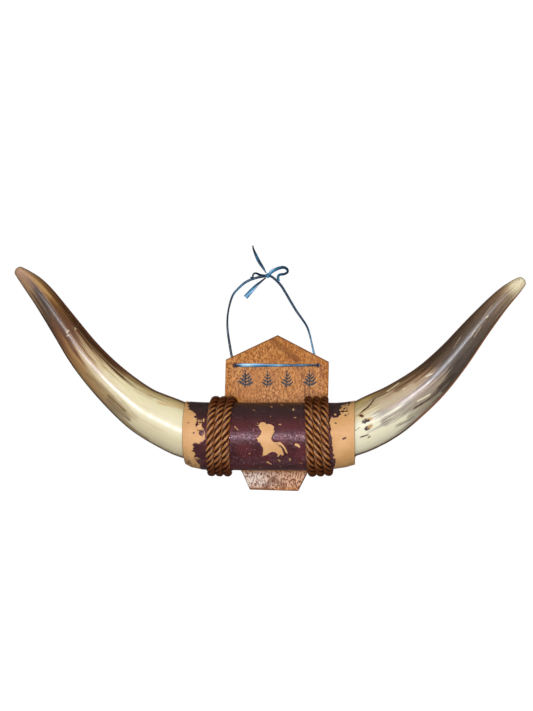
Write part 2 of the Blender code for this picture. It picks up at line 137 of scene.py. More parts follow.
def apply_modifier(piece: Piece, kind: str, **settings: Any) -> None:
    """Add a modifier to the piece and apply it at once.

    Args:
        piece: The piece to change.
        kind: Blender's name for the modifier's type.
        **settings: Values for the modifier's own settings.
    """
    activate(piece)
    modifier = piece.modifiers.new(kind.lower(), kind)
    for key, value in settings.items():
        setattr(modifier, key, value)
    bpy.ops.object.modifier_apply(modifier=modifier.name)


def cut(piece: Piece, cutter: Piece) -> None:
    """Take the cutter's shape out of the piece and remove the cutter."""
    apply_modifier(piece, "BOOLEAN", operation="DIFFERENCE", solver="EXACT",
                   object=cutter)
    bpy.data.objects.remove(cutter, do_unlink=True)


def bake_place() -> None:
    """Put the selected piece's origin at the world's and keep its shape."""
    bpy.ops.object.transform_apply(location=True, rotation=True, scale=True)


def face_outwards() -> None:
    """Turn the faces of the piece in edit outwards and end the edit."""
    bpy.ops.mesh.select_all(action="SELECT")
    bpy.ops.mesh.normals_make_consistent(inside=False)
    bpy.ops.object.mode_set(mode="OBJECT")


def edit_open_edges(piece: Piece) -> None:
    """Start to edit the piece, with only its open edges selected."""
    activate(piece)
    bpy.ops.object.mode_set(mode="EDIT")
    bpy.ops.mesh.select_mode(type="EDGE")
    bpy.ops.mesh.select_all(action="DESELECT")
    bpy.ops.mesh.select_non_manifold()


def read_rows(items: Any, key: str) -> Array:
    """Rows of three numbers read from all items of a mesh."""
    flat = np.empty(len(items) * 3, dtype=np.float32)
    items.foreach_get(key, flat)
    return flat.reshape(-1, 3).astype(float)


def vertex_places(piece: Piece) -> Array:
    """Places of the piece's vertices, as rows of x, y, z in metres."""
    return read_rows(piece.data.vertices, "co")


def move_vertices(piece: Piece, places: Array) -> None:
    """Put the piece's vertices at the given places, in metres."""
    piece.data.vertices.foreach_set("co", places.astype(np.float32).ravel())
    piece.data.update()


def vertex_normals(piece: Piece) -> Array:
    """Unit normals of the piece's vertices."""
    return read_rows(piece.data.vertex_normals, "vector")


def paint_values(piece: Piece, name: str, values: Array) -> None:
    """Store one number or one vector per vertex for the finish to read.

    Args:
        piece: The piece whose mesh takes the values.
        name: Name that the finish reads them by.
        values: One row per vertex, of one or three numbers.
    """
    kind, key = ("FLOAT", "value") if values.ndim == 1 else (
        "FLOAT_VECTOR", "vector")
    layer = piece.data.attributes.new(name, kind, "POINT")
    layer.data.foreach_set(key, values.astype(np.float32).ravel())


def smooth_rows(points: Sequence[Sequence[float]], count: int) -> Array:
    """Read rows evenly along a smooth curve through the given ones.

    Args:
        points: Rows whose first three numbers are a place. Any others, such
            as a radius, follow the same curve.
        count: How many rows to read.

    Returns:
        The rows, evenly spaced from the first point to the last.
    """
    given = np.array(points, dtype=float)
    ends = np.vstack([2 * given[0] - given[1], given,
                      2 * given[-1] - given[-2]])
    t = np.arange(24)[:, None] / 24
    fine = []
    for k in range(1, len(ends) - 2):
        a, b, c, d = ends[k - 1:k + 3]
        fine.append(0.5 * (2 * b + (c - a) * t
                           + (2 * a - 5 * b + 4 * c - d) * t ** 2
                           + (3 * b - a - 3 * c + d) * t ** 3))
    fine.append(given[-1:])
    rows = np.vstack(fine)
    steps = np.linalg.norm(np.diff(rows[:, :3], axis=0), axis=1)
    reach = np.concatenate([[0.0], np.cumsum(steps)])
    want = np.linspace(0.0, reach[-1], count)
    return np.stack([np.interp(want, reach, rows[:, k])
                     for k in range(rows.shape[1])], axis=1)


def unit(rows: Array) -> Array:
    """Each row scaled to length one."""
    size = np.linalg.norm(rows, axis=-1, keepdims=True)
    return rows / np.maximum(size, 1e-12)


def travel(places: Array) -> Array:
    """Unit direction of travel at each place of a path."""
    return unit(np.gradient(places, axis=0))


def sheet_grid(name: str, along: int, across: int,
               place: Callable[[Array, Array], Array]) -> Piece:
    """Lay a grid of small squares over a surface.

    Args:
        name: Name of the new piece.
        along: Number of squares in the first direction.
        across: Number of squares in the second direction.
        place: Gives the places in metres for shares u and v from 0 to 1.

    Returns:
        The new piece, open at all its edges.
    """
    bpy.ops.mesh.primitive_grid_add(x_subdivisions=along, y_subdivisions=across,
                                    size=1.0)
    piece = bpy.context.object
    piece.name = name
    flat = vertex_places(piece)
    move_vertices(piece, place(flat[:, 0] + 0.5, flat[:, 1] + 0.5))
    return piece


def close_tube(piece: Piece, caps: bool = True) -> None:
    """Merge a rolled grid's seam, close its ends and turn its faces outwards.

    Args:
        piece: The rolled grid.
        caps: Whether the two open ends are filled.
    """
    activate(piece)
    bpy.ops.object.mode_set(mode="EDIT")
    bpy.ops.mesh.select_all(action="SELECT")
    bpy.ops.mesh.remove_doubles(threshold=1e-6)
    if caps:
        bpy.ops.mesh.fill_holes(sides=0)
    face_outwards()


def join(pieces: Sequence[Piece], name: str) -> Piece:
    """Join several meshes into one piece.

    Args:
        pieces: The meshes.
        name: Name of the joined piece.

    Returns:
        The joined piece.
    """
    activate(pieces[0])
    for other in pieces[1:]:
        other.select_set(True)
    bpy.ops.object.join()
    joined = bpy.context.object
    joined.name = name
    return joined


def settle(piece: Piece, slot: Slot, material: Material,
           nodes: Sequence[str] = (), smooth_degrees: float = 40.0) -> Piece:
    """Give a finished piece its material and body, log its slot and hide its
    CAD nodes.

    Args:
        piece: The finished piece.
        slot: The record's material slot that it belongs to.
        material: Its finish.
        nodes: CAD nodes that it stands for.
        smooth_degrees: Edges sharper than this stay sharp.

    Returns:
        The same piece.
    """
    activate(piece)
    bake_place()
    bpy.ops.object.shade_smooth_by_angle(angle=math.radians(smooth_degrees))
    piece.data.materials.clear()
    piece.data.materials.append(material)
    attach(piece, "root")
    if nodes:
        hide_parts(*nodes)
    log.info("%s: %d faces, slot %s", piece.name, len(piece.data.polygons),
             slot.value)
    return piece


# Small helpers for finishes

def paint(red: float, green: float, blue: float) -> Colour:
    """A paint chip as the shader's linear colour.

    Args:
        red: The chip's red, from 0 to 255.
        green: The chip's green, from 0 to 255.
        blue: The chip's blue, from 0 to 255.

    Returns:
        Linear red, green and blue, and a full alpha.
    """
    def linear(value: float) -> float:
        """One channel of the chip."""
        share = value / 255
        if share <= 0.04045:
            return share / 12.92
        return ((share + 0.055) / 1.055) ** 2.4
    return (linear(red), linear(green), linear(blue), 1.0)


class Palette:
    """The nodes of one finish, with short ways to add and join them."""

    def __init__(self, name: str) -> None:
        """Start a material with its plain shader."""
        self.material = bpy.data.materials.new(name)
        self.material.use_nodes = True
        self.tree = self.material.node_tree
        self.shader = self.tree.nodes["Principled BSDF"]

    def put(self, socket: Socket, value: Any) -> None:
        """Link a socket to the value, or set it where it is a constant."""
        if isinstance(value, bpy.types.NodeSocket):
            self.tree.links.new(value, socket)
        else:
            socket.default_value = value

    def add(self, kind: str, inputs: dict[Any, Any] | None = None,
            **settings: Any) -> bpy.types.Node:
        """Add one node.

        Args:
            kind: The node's type, without its ShaderNode prefix.
            inputs: Values or sockets for its inputs, by name or number.
            **settings: Values for the node's own settings.

        Returns:
            The node.
        """
        node = self.tree.nodes.new("ShaderNode" + kind)
        for key, value in settings.items():
            setattr(node, key, value)
        for key, value in (inputs or {}).items():
            self.put(node.inputs[key], value)
        return node

    def calc(self, operation: str, a: Any, b: Any = 0.0,
             clamp: bool = False) -> Socket:
        """Result of one sum on two numbers."""
        return self.add("Math", {0: a, 1: b}, operation=operation,
                        use_clamp=clamp).outputs[0]

    def times(self, a: Any, b: Any) -> Socket:
        """Product of two numbers."""
        return self.calc("MULTIPLY", a, b)

    def plus(self, a: Any, b: Any) -> Socket:
        """Sum of two numbers."""
        return self.calc("ADD", a, b)

    def minus(self, a: Any, b: Any) -> Socket:
        """Difference of two numbers."""
        return self.calc("SUBTRACT", a, b)

    def swing(self, cloud: Any, reach: Any, middle: float = 0.5) -> Socket:
        """A cloudy value made to swing about nought, scaled by the reach."""
        return self.times(self.minus(cloud, middle), reach)

    def step(self, value: Any, low: float, high: float, start: float = 0.0,
             end: float = 1.0) -> Socket:
        """A soft step of the value between low and high, from start to end."""
        return self.add("MapRange", {"Value": value, "From Min": low,
                                     "From Max": high, "To Min": start,
                                     "To Max": end},
                        interpolation_type="SMOOTHSTEP").outputs[0]

    def mix(self, share: Any, a: Any, b: Any, blend: str = "MIX") -> Socket:
        """Blend of two colours.

        Args:
            share: How much of the second colour, from 0 to 1.
            a: The first colour.
            b: The second colour.
            blend: Blender's name for the kind of blend.

        Returns:
            The blended colour.
        """
        node = self.add("Mix", data_type="RGBA", blend_type=blend)
        self.put(node.inputs[0], share)
        self.put(node.inputs[6], a)
        self.put(node.inputs[7], b)
        return node.outputs[2]

    def wash(self, colour: Any, over: Any, value: Any, low: float, high: float,
             share: Any = 1.0, blend: str = "MIX") -> Socket:
        """Lay one colour over another where a value passes a soft step.

        Args:
            colour: The colour underneath.
            over: The colour laid over it.
            value: What the step reads.
            low: Where the step starts.
            high: Where the step ends, above or below its start.
            share: How much of the upper colour shows past the step.
            blend: Blender's name for the kind of blend.

        Returns:
            The washed colour.
        """
        on = self.times(self.step(value, low, high), share)
        return self.mix(on, colour, over, blend)

    def ramp(self, share: Any, stops: Sequence[tuple[float, Colour]]) -> Socket:
        """Colour read along a row of stops.

        Args:
            share: Where the row is read, from 0 to 1.
            stops: The row, as pairs of place and colour.

        Returns:
            The colour.
        """
        node = self.add("ValToRGB", {"Fac": share})
        band = node.color_ramp
        while len(band.elements) > 1:
            band.elements.remove(band.elements[-1])
        band.elements[0].position = stops[0][0]
        band.elements[0].color = stops[0][1]
        for place, colour in stops[1:]:
            band.elements.new(place).color = colour
        return node.outputs["Color"]

    def place(self) -> Socket:
        """Place on the piece in metres."""
        return self.add("TexCoord").outputs["Object"]

    def stored(self, name: str, kind: str = "Fac") -> Socket:
        """Values stored on the piece's own mesh, numbers or vectors."""
        return self.add("Attribute", attribute_name=name).outputs[kind]

    def parts(self, vector: Any) -> Sequence[Socket]:
        """The three numbers of a vector."""
        return self.add("SeparateXYZ", {0: vector}).outputs

    def point(self, x: Any, y: Any, z: Any = 0.0) -> Socket:
        """A vector put together from its numbers."""
        return self.add("CombineXYZ", {0: x, 1: y, 2: z}).outputs[0]

    def stretch(self, vector: Any, size: Sequence[float],
                turn: Sequence[float] = (0, 0, 0)) -> Socket:
        """The vector turned and scaled on each axis."""
        return self.add("Mapping", {"Vector": vector,
                                    "Rotation": tuple(turn),
                                    "Scale": tuple(size)}).outputs[0]

    def noise(self, vector: Any, scale: float, detail: float = 3.0,
              rough: float = 0.5, distortion: float = 0.0) -> Socket:
        """Cloudy noise from 0 to 1."""
        return self.add("TexNoise", {"Vector": vector, "Scale": scale,
                                     "Detail": detail, "Roughness": rough,
                                     "Distortion": distortion}).outputs[0]

    def cells(self, vector: Any, scale: float, feature: str = "F1") -> Socket:
        """Distance to the middle, or to the edge, of the nearest cell."""
        return self.add("TexVoronoi", {"Vector": vector, "Scale": scale},
                        feature=feature).outputs["Distance"]

    def bump(self, height: Any, depth: float, strength: float = 1.0,
             under: Any = None) -> Socket:
        """Surface normal of a low relief.

        Args:
            height: The relief, from 0 to 1.
            depth: Its depth in metres.
            strength: How much of it shows.
            under: Normal of the relief that it lies on.

        Returns:
            The normal.
        """
        inputs = {"Height": height, "Distance": depth, "Strength": strength}
        if under is not None:
            inputs["Normal"] = under
        return self.add("Bump", inputs).outputs[0]

    def stroke(self, vector: Any, start: Sequence[float], end: Sequence[float],
               width: float, fade: float) -> Socket:
        """Share of a short stroke drawn between two points.

        Args:
            vector: Place that the stroke is drawn on.
            start: First end of the stroke, of two numbers.
            end: Second end of the stroke, of two numbers.
            width: Half width of the stroke's full part.
            fade: Width over which it fades out.

        Returns:
            1 on the stroke, 0 away from it.
        """
        a = Vector((*start, 0.0))
        run = Vector((*end, 0.0)) - a
        from_start = self.add("VectorMath", {0: vector, 1: tuple(a)},
                              operation="SUBTRACT").outputs[0]
        dot = self.add("VectorMath", {0: from_start, 1: tuple(run)},
                       operation="DOT_PRODUCT").outputs["Value"]
        share = self.calc("MULTIPLY", dot, 1 / max(run.length_squared, 1e-9),
                          clamp=True)
        reach = self.add("VectorMath", {0: tuple(run), "Scale": share},
                         operation="SCALE").outputs[0]
        away = self.add("VectorMath", {0: from_start, 1: reach},
                        operation="DISTANCE").outputs["Value"]
        return self.step(away, width, width + fade, 1.0, 0.0)

    def finish(self, **values: Any) -> Material:
        """Set the shader's inputs and give back the material."""
        for key, value in values.items():
            self.put(self.shader.inputs[key.replace("_", " ")], value)
        return self.material


# Finishes

@dataclass(frozen=True)
class HornMark:
    """A short mark on a horn: two ends (length mm, degrees from the front)."""

    start: Pair
    end: Pair
    width: float
    fade: float
    colour: Colour
    streaky: bool = False

    def draw(self, pen: Palette, flat: Socket) -> Socket:
        """Share of the mark on the horn's flattened skin."""
        ends = [(length, degrees * HORN_ARC)
                for length, degrees in (self.start, self.end)]
        return pen.stroke(flat, *ends, self.width, self.fade)


smear = partial(HornMark, streaky=True)


@dataclass(frozen=True)
class HornFinish:
    """Polished horn whose colour changes from base to tip and round it.

    Each lane is a row of (length mm, red, green, blue). The lanes lie side by
    side from the horn's underside to its top; the outer ones, at the outline
    seen from the front, are darker, partly from the horn's own colour and
    partly as painted shade. The rim is the stretch over which an amber band
    comes up along the underside, in mm.
    """

    name: str
    length: float
    lanes: tuple[Table, ...]
    streak: Colour
    marks: tuple[HornMark, ...] = ()
    rim: Pair = (0.0, 0.0)
    amber: Colour = paint(218, 122, 34)
    # Painted shade: dark brown along the horn's outline seen from the front.
    border: Colour = paint(106, 54, 10)
    gloss: float = 0.33
    shine: float = 0.3
    matt_base: float = 0.0
    lift: float = 1.0
    lane_steps: Table = ((-0.96, -0.80), (-0.45, -0.10), (0.12, 0.45),
                         (0.56, 0.84))

    def along(self, pen: Palette, share: Socket, lane: Table) -> Socket:
        """Colour ramp of one lane of the horn, from base to tip."""
        return pen.ramp(share, [
            (place / self.length, paint(*(min(part * self.lift, 250)
                                          for part in colour)))
            for place, *colour in lane])

    def body(self, pen: Palette, above: Socket, reach: Socket, grain: Socket,
             wisp: Socket) -> Socket:
        """Colour of the horn's lanes, with streaky borders between them.

        Args:
            pen: The finish that takes the nodes.
            above: Sine of the angle from the front, upwards positive.
            reach: Length along the horn in mm.
            grain: The horn's own directions and length.
            wisp: Long streaks along the horn, from 0 to 1.

        Returns:
            The colour.
        """
        broad = pen.noise(pen.stretch(grain, (5.0, 5.0, 0.016)), 1.0, 2.0, 0.5)
        drift = pen.plus(pen.swing(broad, 120.0), pen.swing(wisp, 110.0))
        near_end = pen.step(reach, self.length - 60, self.length - 15, 1.0,
                            0.12)
        share = pen.calc("DIVIDE", pen.plus(reach, pen.times(drift, near_end)),
                         self.length, clamp=True)
        edge = pen.plus(
            pen.times(above, pen.step(reach, 70, 150, 0.93, 1.0)),
            pen.swing(wisp, pen.step(reach, 60, 150, 0.12, 0.6)))
        colour = self.along(pen, share, self.lanes[0])
        for lane, (low, high) in zip(self.lanes[1:], self.lane_steps):
            colour = pen.mix(pen.step(edge, low, high), colour,
                             self.along(pen, share, lane))
        return colour

    def material(self) -> Material:
        """Build the horn's material.

        Returns:
            The material.
        """
        pen = Palette(self.name)
        grain = pen.stored("grain", "Vector")
        ahead, above, reach = pen.parts(grain)
        fine = pen.noise(pen.stretch(grain, (30, 30, 0.040)), 1.0, 4.0, 0.65)
        hair = pen.noise(pen.stretch(grain, (85, 85, 0.09)), 1.0, 2.0, 0.5)
        wisp = pen.noise(pen.stretch(grain, (11, 11, 0.022)), 1.0, 3.0, 0.55)
        swell = pen.noise(pen.stretch(grain, (9, 9, 0.02)), 1.0, 1.0, 0.5)
        colour = self.body(pen, above, reach, grain, wisp)
        colour = pen.wash(colour, self.streak, fine, 0.50, 0.72,
                          pen.step(reach, 60, 180, 0.05, 0.42), "MULTIPLY")
        colour = pen.wash(colour, self.streak, hair, 0.55, 0.72,
                          pen.step(reach, 80, 190, 0.05, 0.45), "MULTIPLY")
        colour = pen.wash(colour, paint(214, 190, 160), hair, 0.36, 0.26,
                          pen.step(reach, 80, 190, 0.03, 0.30))
        colour = pen.wash(colour, paint(238, 222, 190), fine, 0.42, 0.28,
                          0.22, "SCREEN")
        # Painted shade: the outline seen from the front is darkened with the
        # border colour.
        colour = pen.wash(colour, self.border, pen.calc("ABSOLUTE", above),
                          0.90, 0.970, 0.94)
        if self.rim[1] > 0:
            band = pen.times(pen.step(reach, *self.rim),
                             pen.step(ahead, -0.12, 0.06))
            colour = pen.wash(colour, self.amber, above, -0.90, -0.965, band)
        angle = pen.times(pen.calc("ARCTAN2", above, ahead), 180 / math.pi)
        shake = pen.noise(pen.place(), 700.0, 2.0)
        flat = pen.point(
            pen.plus(reach, pen.swing(hair, 7.0)),
            pen.plus(pen.times(angle, HORN_ARC), pen.swing(shake, 1.2)))
        for mark in self.marks:
            on = mark.draw(pen, flat)
            if mark.streaky:
                on = pen.times(on, pen.step(fine, 0.36, 0.58))
            colour = pen.mix(on, colour, mark.colour)
        polish = pen.step(reach, 70, 125, self.gloss + self.matt_base,
                          self.gloss)
        return pen.finish(Base_Color=colour, IOR=1.54,
                          Roughness=pen.plus(polish, pen.swing(wisp, 0.16)),
                          Specular_IOR_Level=self.shine, Coat_Weight=0.08,
                          Coat_Roughness=0.20,
                          Normal=pen.bump(swell, 0.00010, 0.5))


@dataclass(frozen=True)
class SleeveFinish:
    """Dark maroon skin with a fine grain and painted shade towards the top,
    peeled to a smooth tan backing.
    """

    skin: Colour = paint(96, 34, 36)
    skin_dark: Colour = paint(57, 20, 19)
    skin_top_shade: Colour = paint(46, 29, 20)
    skin_worn: Colour = paint(118, 66, 66)
    backing: Colour = paint(220, 167, 102)
    backing_light: Colour = paint(230, 181, 120)
    backing_dark: Colour = paint(196, 146, 92)
    torn_rim: Colour = paint(90, 50, 34)
    dirt: Colour = paint(138, 104, 74)
    raw_edge_and_inside_shade: Colour = paint(74, 42, 26)

    def material(self) -> Material:
        """Build the sleeve's material.

        Returns:
            The material.
        """
        pen = Palette("peeling_skin")
        place = pen.place()
        crumb = pen.noise(place, 430.0, 4.0, 0.7)
        chip = pen.cells(place, 520.0)
        cloud = pen.noise(place, 60.0, 4.0, 0.6)
        mottle = pen.noise(place, 420.0, 3.0, 0.7)
        jag = pen.plus(pen.swing(crumb, 5.2), pen.swing(chip, 1.5, 0.45))
        torn = pen.plus(pen.stored("peel"),
                        pen.times(jag, pen.stored("ragged")))
        bare = pen.step(torn, -0.22, -0.02)
        skin = pen.wash(self.skin_dark, self.skin, cloud, 0.30, 0.70)
        height = pen.plus(pen.parts(place)[2], pen.swing(cloud, 0.02))
        # Painted shade: the skin darkens towards the top of the sleeve.
        skin = pen.wash(skin, self.skin_top_shade, height, 0.010, 0.034)
        skin = pen.wash(skin, self.skin_worn, mottle, 0.54, 0.74, 0.40)
        tan = pen.wash(self.backing, self.backing_light, cloud, 0.3, 0.7)
        tan = pen.wash(tan, self.backing_dark, mottle, 0.55, 0.75, 0.28)
        colour = pen.mix(bare, skin, tan)
        colour = pen.wash(colour, self.torn_rim, pen.calc("ABSOLUTE", torn),
                          0.55, 0.0, 0.25)
        colour = pen.wash(colour, self.dirt, crumb, 0.40, 0.62,
                          pen.stored("grime"))
        # The raw cut edge's own dark colour at both ends, and painted shade
        # over the whole inner wall.
        colour = pen.mix(pen.stored("cut_edge_and_inside_shade"), colour, self.raw_edge_and_inside_shade)
        pebble = pen.step(pen.cells(place, 760.0, "DISTANCE_TO_EDGE"), 0.0,
                          0.22)
        relief = pen.times(pebble, pen.minus(1.0, pen.times(bare, 0.85)))
        grain = pen.bump(relief, 0.00038, 0.9)
        ledge = pen.bump(pen.minus(1.0, bare), 0.0003, 1.0, grain)
        rough = pen.plus(pen.step(bare, 0.0, 1.0, 0.34, 0.66),
                         pen.swing(mottle, 0.30))
        return pen.finish(Base_Color=colour, Roughness=rough, IOR=1.5,
                          Specular_IOR_Level=1.0,
                          Specular_Tint=(1.0, 0.66, 0.74, 1.0),
                          Normal=pen.bump(mottle, 0.00010, 0.5, ledge))


@dataclass(frozen=True)
class RopeFinish:
    """Laid natural fibre, golden on the crowns, with painted shade in the
    grooves between the strands and towards its top and bottom, and painted
    highlights on the lit crowns.
    """

    crown: Colour = paint(200, 110, 40)
    straw_highlight: Colour = paint(250, 196, 132)
    body: Colour = paint(122, 56, 14)
    shade_and_dark_fibre: Colour = paint(36, 11, 2)

    def material(self) -> Material:
        """Build the rope's material.

        Returns:
            The material.
        """
        pen = Palette("laid_fibre")
        place = pen.place()
        strand = pen.stored("strand", "Vector")
        high = pen.stored("crown")
        hair = pen.noise(pen.stretch(strand, (7.0, 7.0, 0.16)), 1.0, 4.0, 0.7)
        patch = pen.noise(place, 160.0, 3.0, 0.6)
        fuzz = pen.noise(place, 2600.0, 2.0, 0.6)
        shade = pen.step(pen.calc("ABSOLUTE", pen.parts(place)[2]), 0.024,
                         0.043)
        lit = pen.times(pen.step(high, 0.66, 0.96),
                        pen.step(shade, 0.0, 1.0, 1.0, 0.15))
        # Painted shade and light of the strands' relief: dark in the grooves,
        # lighter on the crowns.
        colour = pen.wash(self.shade_and_dark_fibre, self.body, high, 0.52, 0.86)
        colour = pen.wash(colour, self.crown, high, 0.84, 1.0)
        # Painted highlight: pale streaks on the crowns that face the light.
        colour = pen.wash(colour, self.straw_highlight, hair, 0.46, 0.57, lit)
        colour = pen.mix(pen.times(shade, 0.55), colour, self.shade_and_dark_fibre)
        # Dark fibre streaks, in the colour of the painted shade.
        colour = pen.wash(colour, self.shade_and_dark_fibre, hair, 0.48, 0.30, 0.6)
        colour = pen.wash(colour, self.body, patch, 0.5, 0.75, 0.35)
        relief = pen.bump(hair, 0.0004, 0.8)
        return pen.finish(Base_Color=colour, Roughness=0.38, IOR=1.5,
                          Specular_IOR_Level=0.22,
                          Normal=pen.bump(fuzz, 0.0002, 0.5, relief))


@dataclass(frozen=True)
class BoardFinish:
    """Lacquered board with short speckled grain running downwards.

    The dark strokes are rows of start, end, half width, fade and share, in
    millimetres on the board's front. Those in worn_strokes have a shaky line.
    The lower front of the board carries a painted glare.
    """

    light: Colour = paint(208, 140, 76)
    middle: Colour = paint(184, 114, 54)
    dark: Colour = paint(112, 58, 24)
    speck: Colour = paint(240, 176, 108)
    worn_strokes: tuple[tuple, ...] = (
        ((-4, 118), (24, 95), 2.2, 3.4, 0.48),
        ((24, 96), (34, 76), 1.5, 4.0, 0.30),
        ((36, 62), (37, 44), 0.6, 1.8, 0.6),
        ((40, 58), (41, 44), 0.4, 1.4, 0.5),
        ((-2, -52), (-12, -62), 1.6, 4.0, 0.6),
        ((-2, -52), (10, -61), 1.6, 4.0, 0.5))
    # Painted shade: dark lines along the board's edges, and dark rings round
    # the two ribbon holes.
    edge_strokes: tuple[tuple, ...] = (
        ((2.7, 124.2), (65.2, 91.4), 0.9, 1.4, 0.75),
        ((2.7, 124.2), (-61.2, 94.2), 0.9, 1.4, 0.75),
        ((-50, 86.8), (-49.8, 86.8), 2.6, 1.4, 0.8),
        ((52.4, 86.9), (52.5, 86.9), 2.6, 1.4, 0.8),
        ((-30.8, -64.8), (-2.0, -65.6), 1.4, 1.6, 0.75),
        ((-2.0, -65.6), (28.0, -66.1), 0.5, 1.2, 0.8),
        ((41.1, -40.9), (28.0, -66.1), 0.9, 1.0, 0.9),
        ((-42.9, -39.1), (-30.8, -64.8), 0.3, 0.8, 0.8))

    def material(self) -> Material:
        """Build the board's material.

        Returns:
            The material.
        """
        pen = Palette("lacquered_board")
        place = pen.place()
        across, out, above = pen.parts(place)
        warp = pen.noise(place, 14.0, 2.0)
        lean = pen.point(pen.plus(across, pen.swing(warp, 0.05)), out, above)
        rings = pen.noise(pen.stretch(lean, (1.0, 0.3, 0.12), (0, 0.35, 0)),
                          120.0, 4.0, 0.6, 0.8)
        dash = pen.noise(pen.stretch(place, (1.0, 1.0, 0.55), (0, -0.7, 0)),
                         640.0, 2.0, 0.6)
        fleck = pen.noise(pen.stretch(place, (1.0, 1.0, 0.5), (0, 0.5, 0)),
                          1200.0, 2.0, 0.6)
        cloud = pen.noise(place, 26.0, 3.0, 0.5)
        colour = pen.wash(self.middle, self.light, rings, 0.34, 0.66)
        colour = pen.wash(colour, self.dark, dash, 0.50, 0.60, 0.60)
        colour = pen.wash(colour, self.speck, dash, 0.48, 0.38, 0.70)
        colour = pen.wash(colour, self.dark, fleck, 0.54, 0.68, 0.4)
        colour = pen.wash(colour, self.middle, cloud, 0.40, 0.70, 0.45)
        front = pen.step(out, -0.0098, -0.0080, 1.0, 0.0)
        # Painted glare: the lower front of the board, below the sleeve, is
        # painted pale like a reflection, with dark grain dashes through it.
        glare = pen.wash(paint(248, 234, 226), paint(236, 190, 160), across,
                         -0.030, 0.022)
        glare = pen.wash(glare, paint(136, 84, 60), dash, 0.47, 0.60)
        glare_zone = pen.times(pen.step(above, -0.040, -0.047, 0.0, 0.85), front)
        foot = pen.step(above, -0.059, -0.064, 1.0, 0.3)
        colour = pen.mix(pen.times(glare_zone, foot), colour, glare)
        x, z = pen.times(across, 1 / MM), pen.times(above, 1 / MM)
        crisp = pen.point(x, z)
        shaky = pen.point(x, pen.plus(z, pen.swing(dash, 5.0)))
        for flat, strokes in ((shaky, self.worn_strokes),
                              (crisp, self.edge_strokes)):
            for *line, share in strokes:
                on = pen.times(front, pen.stroke(flat, *line))
                colour = pen.mix(pen.times(on, share), colour, self.dark)
        rough = pen.step(rings, 0.3, 0.7, 0.34, 0.46)
        speckle = pen.bump(dash, 0.0005, 0.9)
        return pen.finish(Base_Color=colour, Roughness=rough, IOR=1.5,
                          Specular_IOR_Level=0.1,
                          Normal=pen.bump(fleck, 0.0002, 0.6, speckle))


@dataclass(frozen=True)
class InkFinish:
    """Black ink, a little thinner where it ran dry."""

    def material(self) -> Material:
        """Build the ink's material.

        Returns:
            The material.
        """
        pen = Palette("brush_ink")
        dry = pen.noise(pen.place(), 700.0, 3.0, 0.6)
        colour = pen.wash(paint(18, 14, 13), paint(70, 46, 34), dry, 0.56,
                          0.72, 0.8)
        return pen.finish(Base_Color=colour, Specular_IOR_Level=0.2,
                          Roughness=pen.step(dry, 0.3, 0.7, 0.35, 0.55))


@dataclass(frozen=True)
class RibbonFinish:
    """Shiny curling ribbon with fine lengthwise ribs, painted light and shade
    along its length, a painted pale highlight where it is lightest and painted
    shade at its edges.
    """

    deep: Colour = paint(18, 34, 58)
    bright: Colour = paint(74, 146, 190)
    pale: Colour = paint(176, 222, 240)

    def material(self) -> Material:
        """Build the ribbon's material.

        Returns:
            The material.
        """
        pen = Palette("curling_ribbon")
        lane = pen.stored("lane", "Vector")
        rib = pen.noise(pen.stretch(lane, (0.02, 5.0, 0.0)), 1.0, 2.0, 0.5)
        drift = pen.noise(pen.stretch(lane, (0.07, 0.3, 0.0)), 1.0, 2.0, 0.5)
        # Painted light and shade along the ribbon: from dark shade through lit
        # blue to a painted pale highlight.
        light_level = pen.plus(pen.stored("light_level"), pen.swing(drift, 0.5))
        colour = pen.wash(self.deep, self.bright, light_level, 0.0, 1.0)
        colour = pen.wash(colour, self.pale, light_level, 0.9, 1.6)
        colour = pen.wash(colour, self.deep, rib, 0.45, 0.7, 0.35)
        # Painted shade: darker towards both edges of the strip.
        colour = pen.wash(colour, self.deep, pen.parts(lane)[2], 0.60, 0.92,
                          0.9)
        return pen.finish(Base_Color=colour, Metallic=0.04,
                          Specular_IOR_Level=0.25,
                          Roughness=pen.step(rib, 0.3, 0.7, 0.26, 0.40),
                          Coat_Weight=0.07, Coat_Roughness=0.2,
                          Normal=pen.bump(rib, 0.00012, 0.6))


@dataclass(frozen=True)
class SteelFinish:
    """Zinc-plated screw steel with faint blotches."""

    def material(self) -> Material:
        """Build the screws' material.

        Returns:
            The material.
        """
        pen = Palette("zinc_plate")
        blotch = pen.noise(pen.place(), 900.0, 3.0, 0.6)
        colour = pen.wash(paint(176, 178, 184), paint(206, 206, 208), blotch,
                          0.35, 0.65)
        return pen.finish(Base_Color=colour, Metallic=1.0,
                          Roughness=pen.step(blotch, 0.3, 0.7, 0.28, 0.45))


@dataclass(frozen=True)
class JoinerFinish:
    """Plain turned softwood of the hidden joiner."""

    def material(self) -> Material:
        """Build the joiner's material.

        Returns:
            The material.
        """
        pen = Palette("turned_softwood")
        grain = pen.noise(pen.stretch(pen.place(), (0.06, 1.0, 1.0)), 420.0,
                          3.0, 0.6)
        colour = pen.wash(paint(206, 170, 118), paint(168, 126, 78), grain,
                          0.38, 0.62)
        return pen.finish(Base_Color=colour, Roughness=0.7,
                          Normal=pen.bump(grain, 0.0002, 0.5))


# The horns

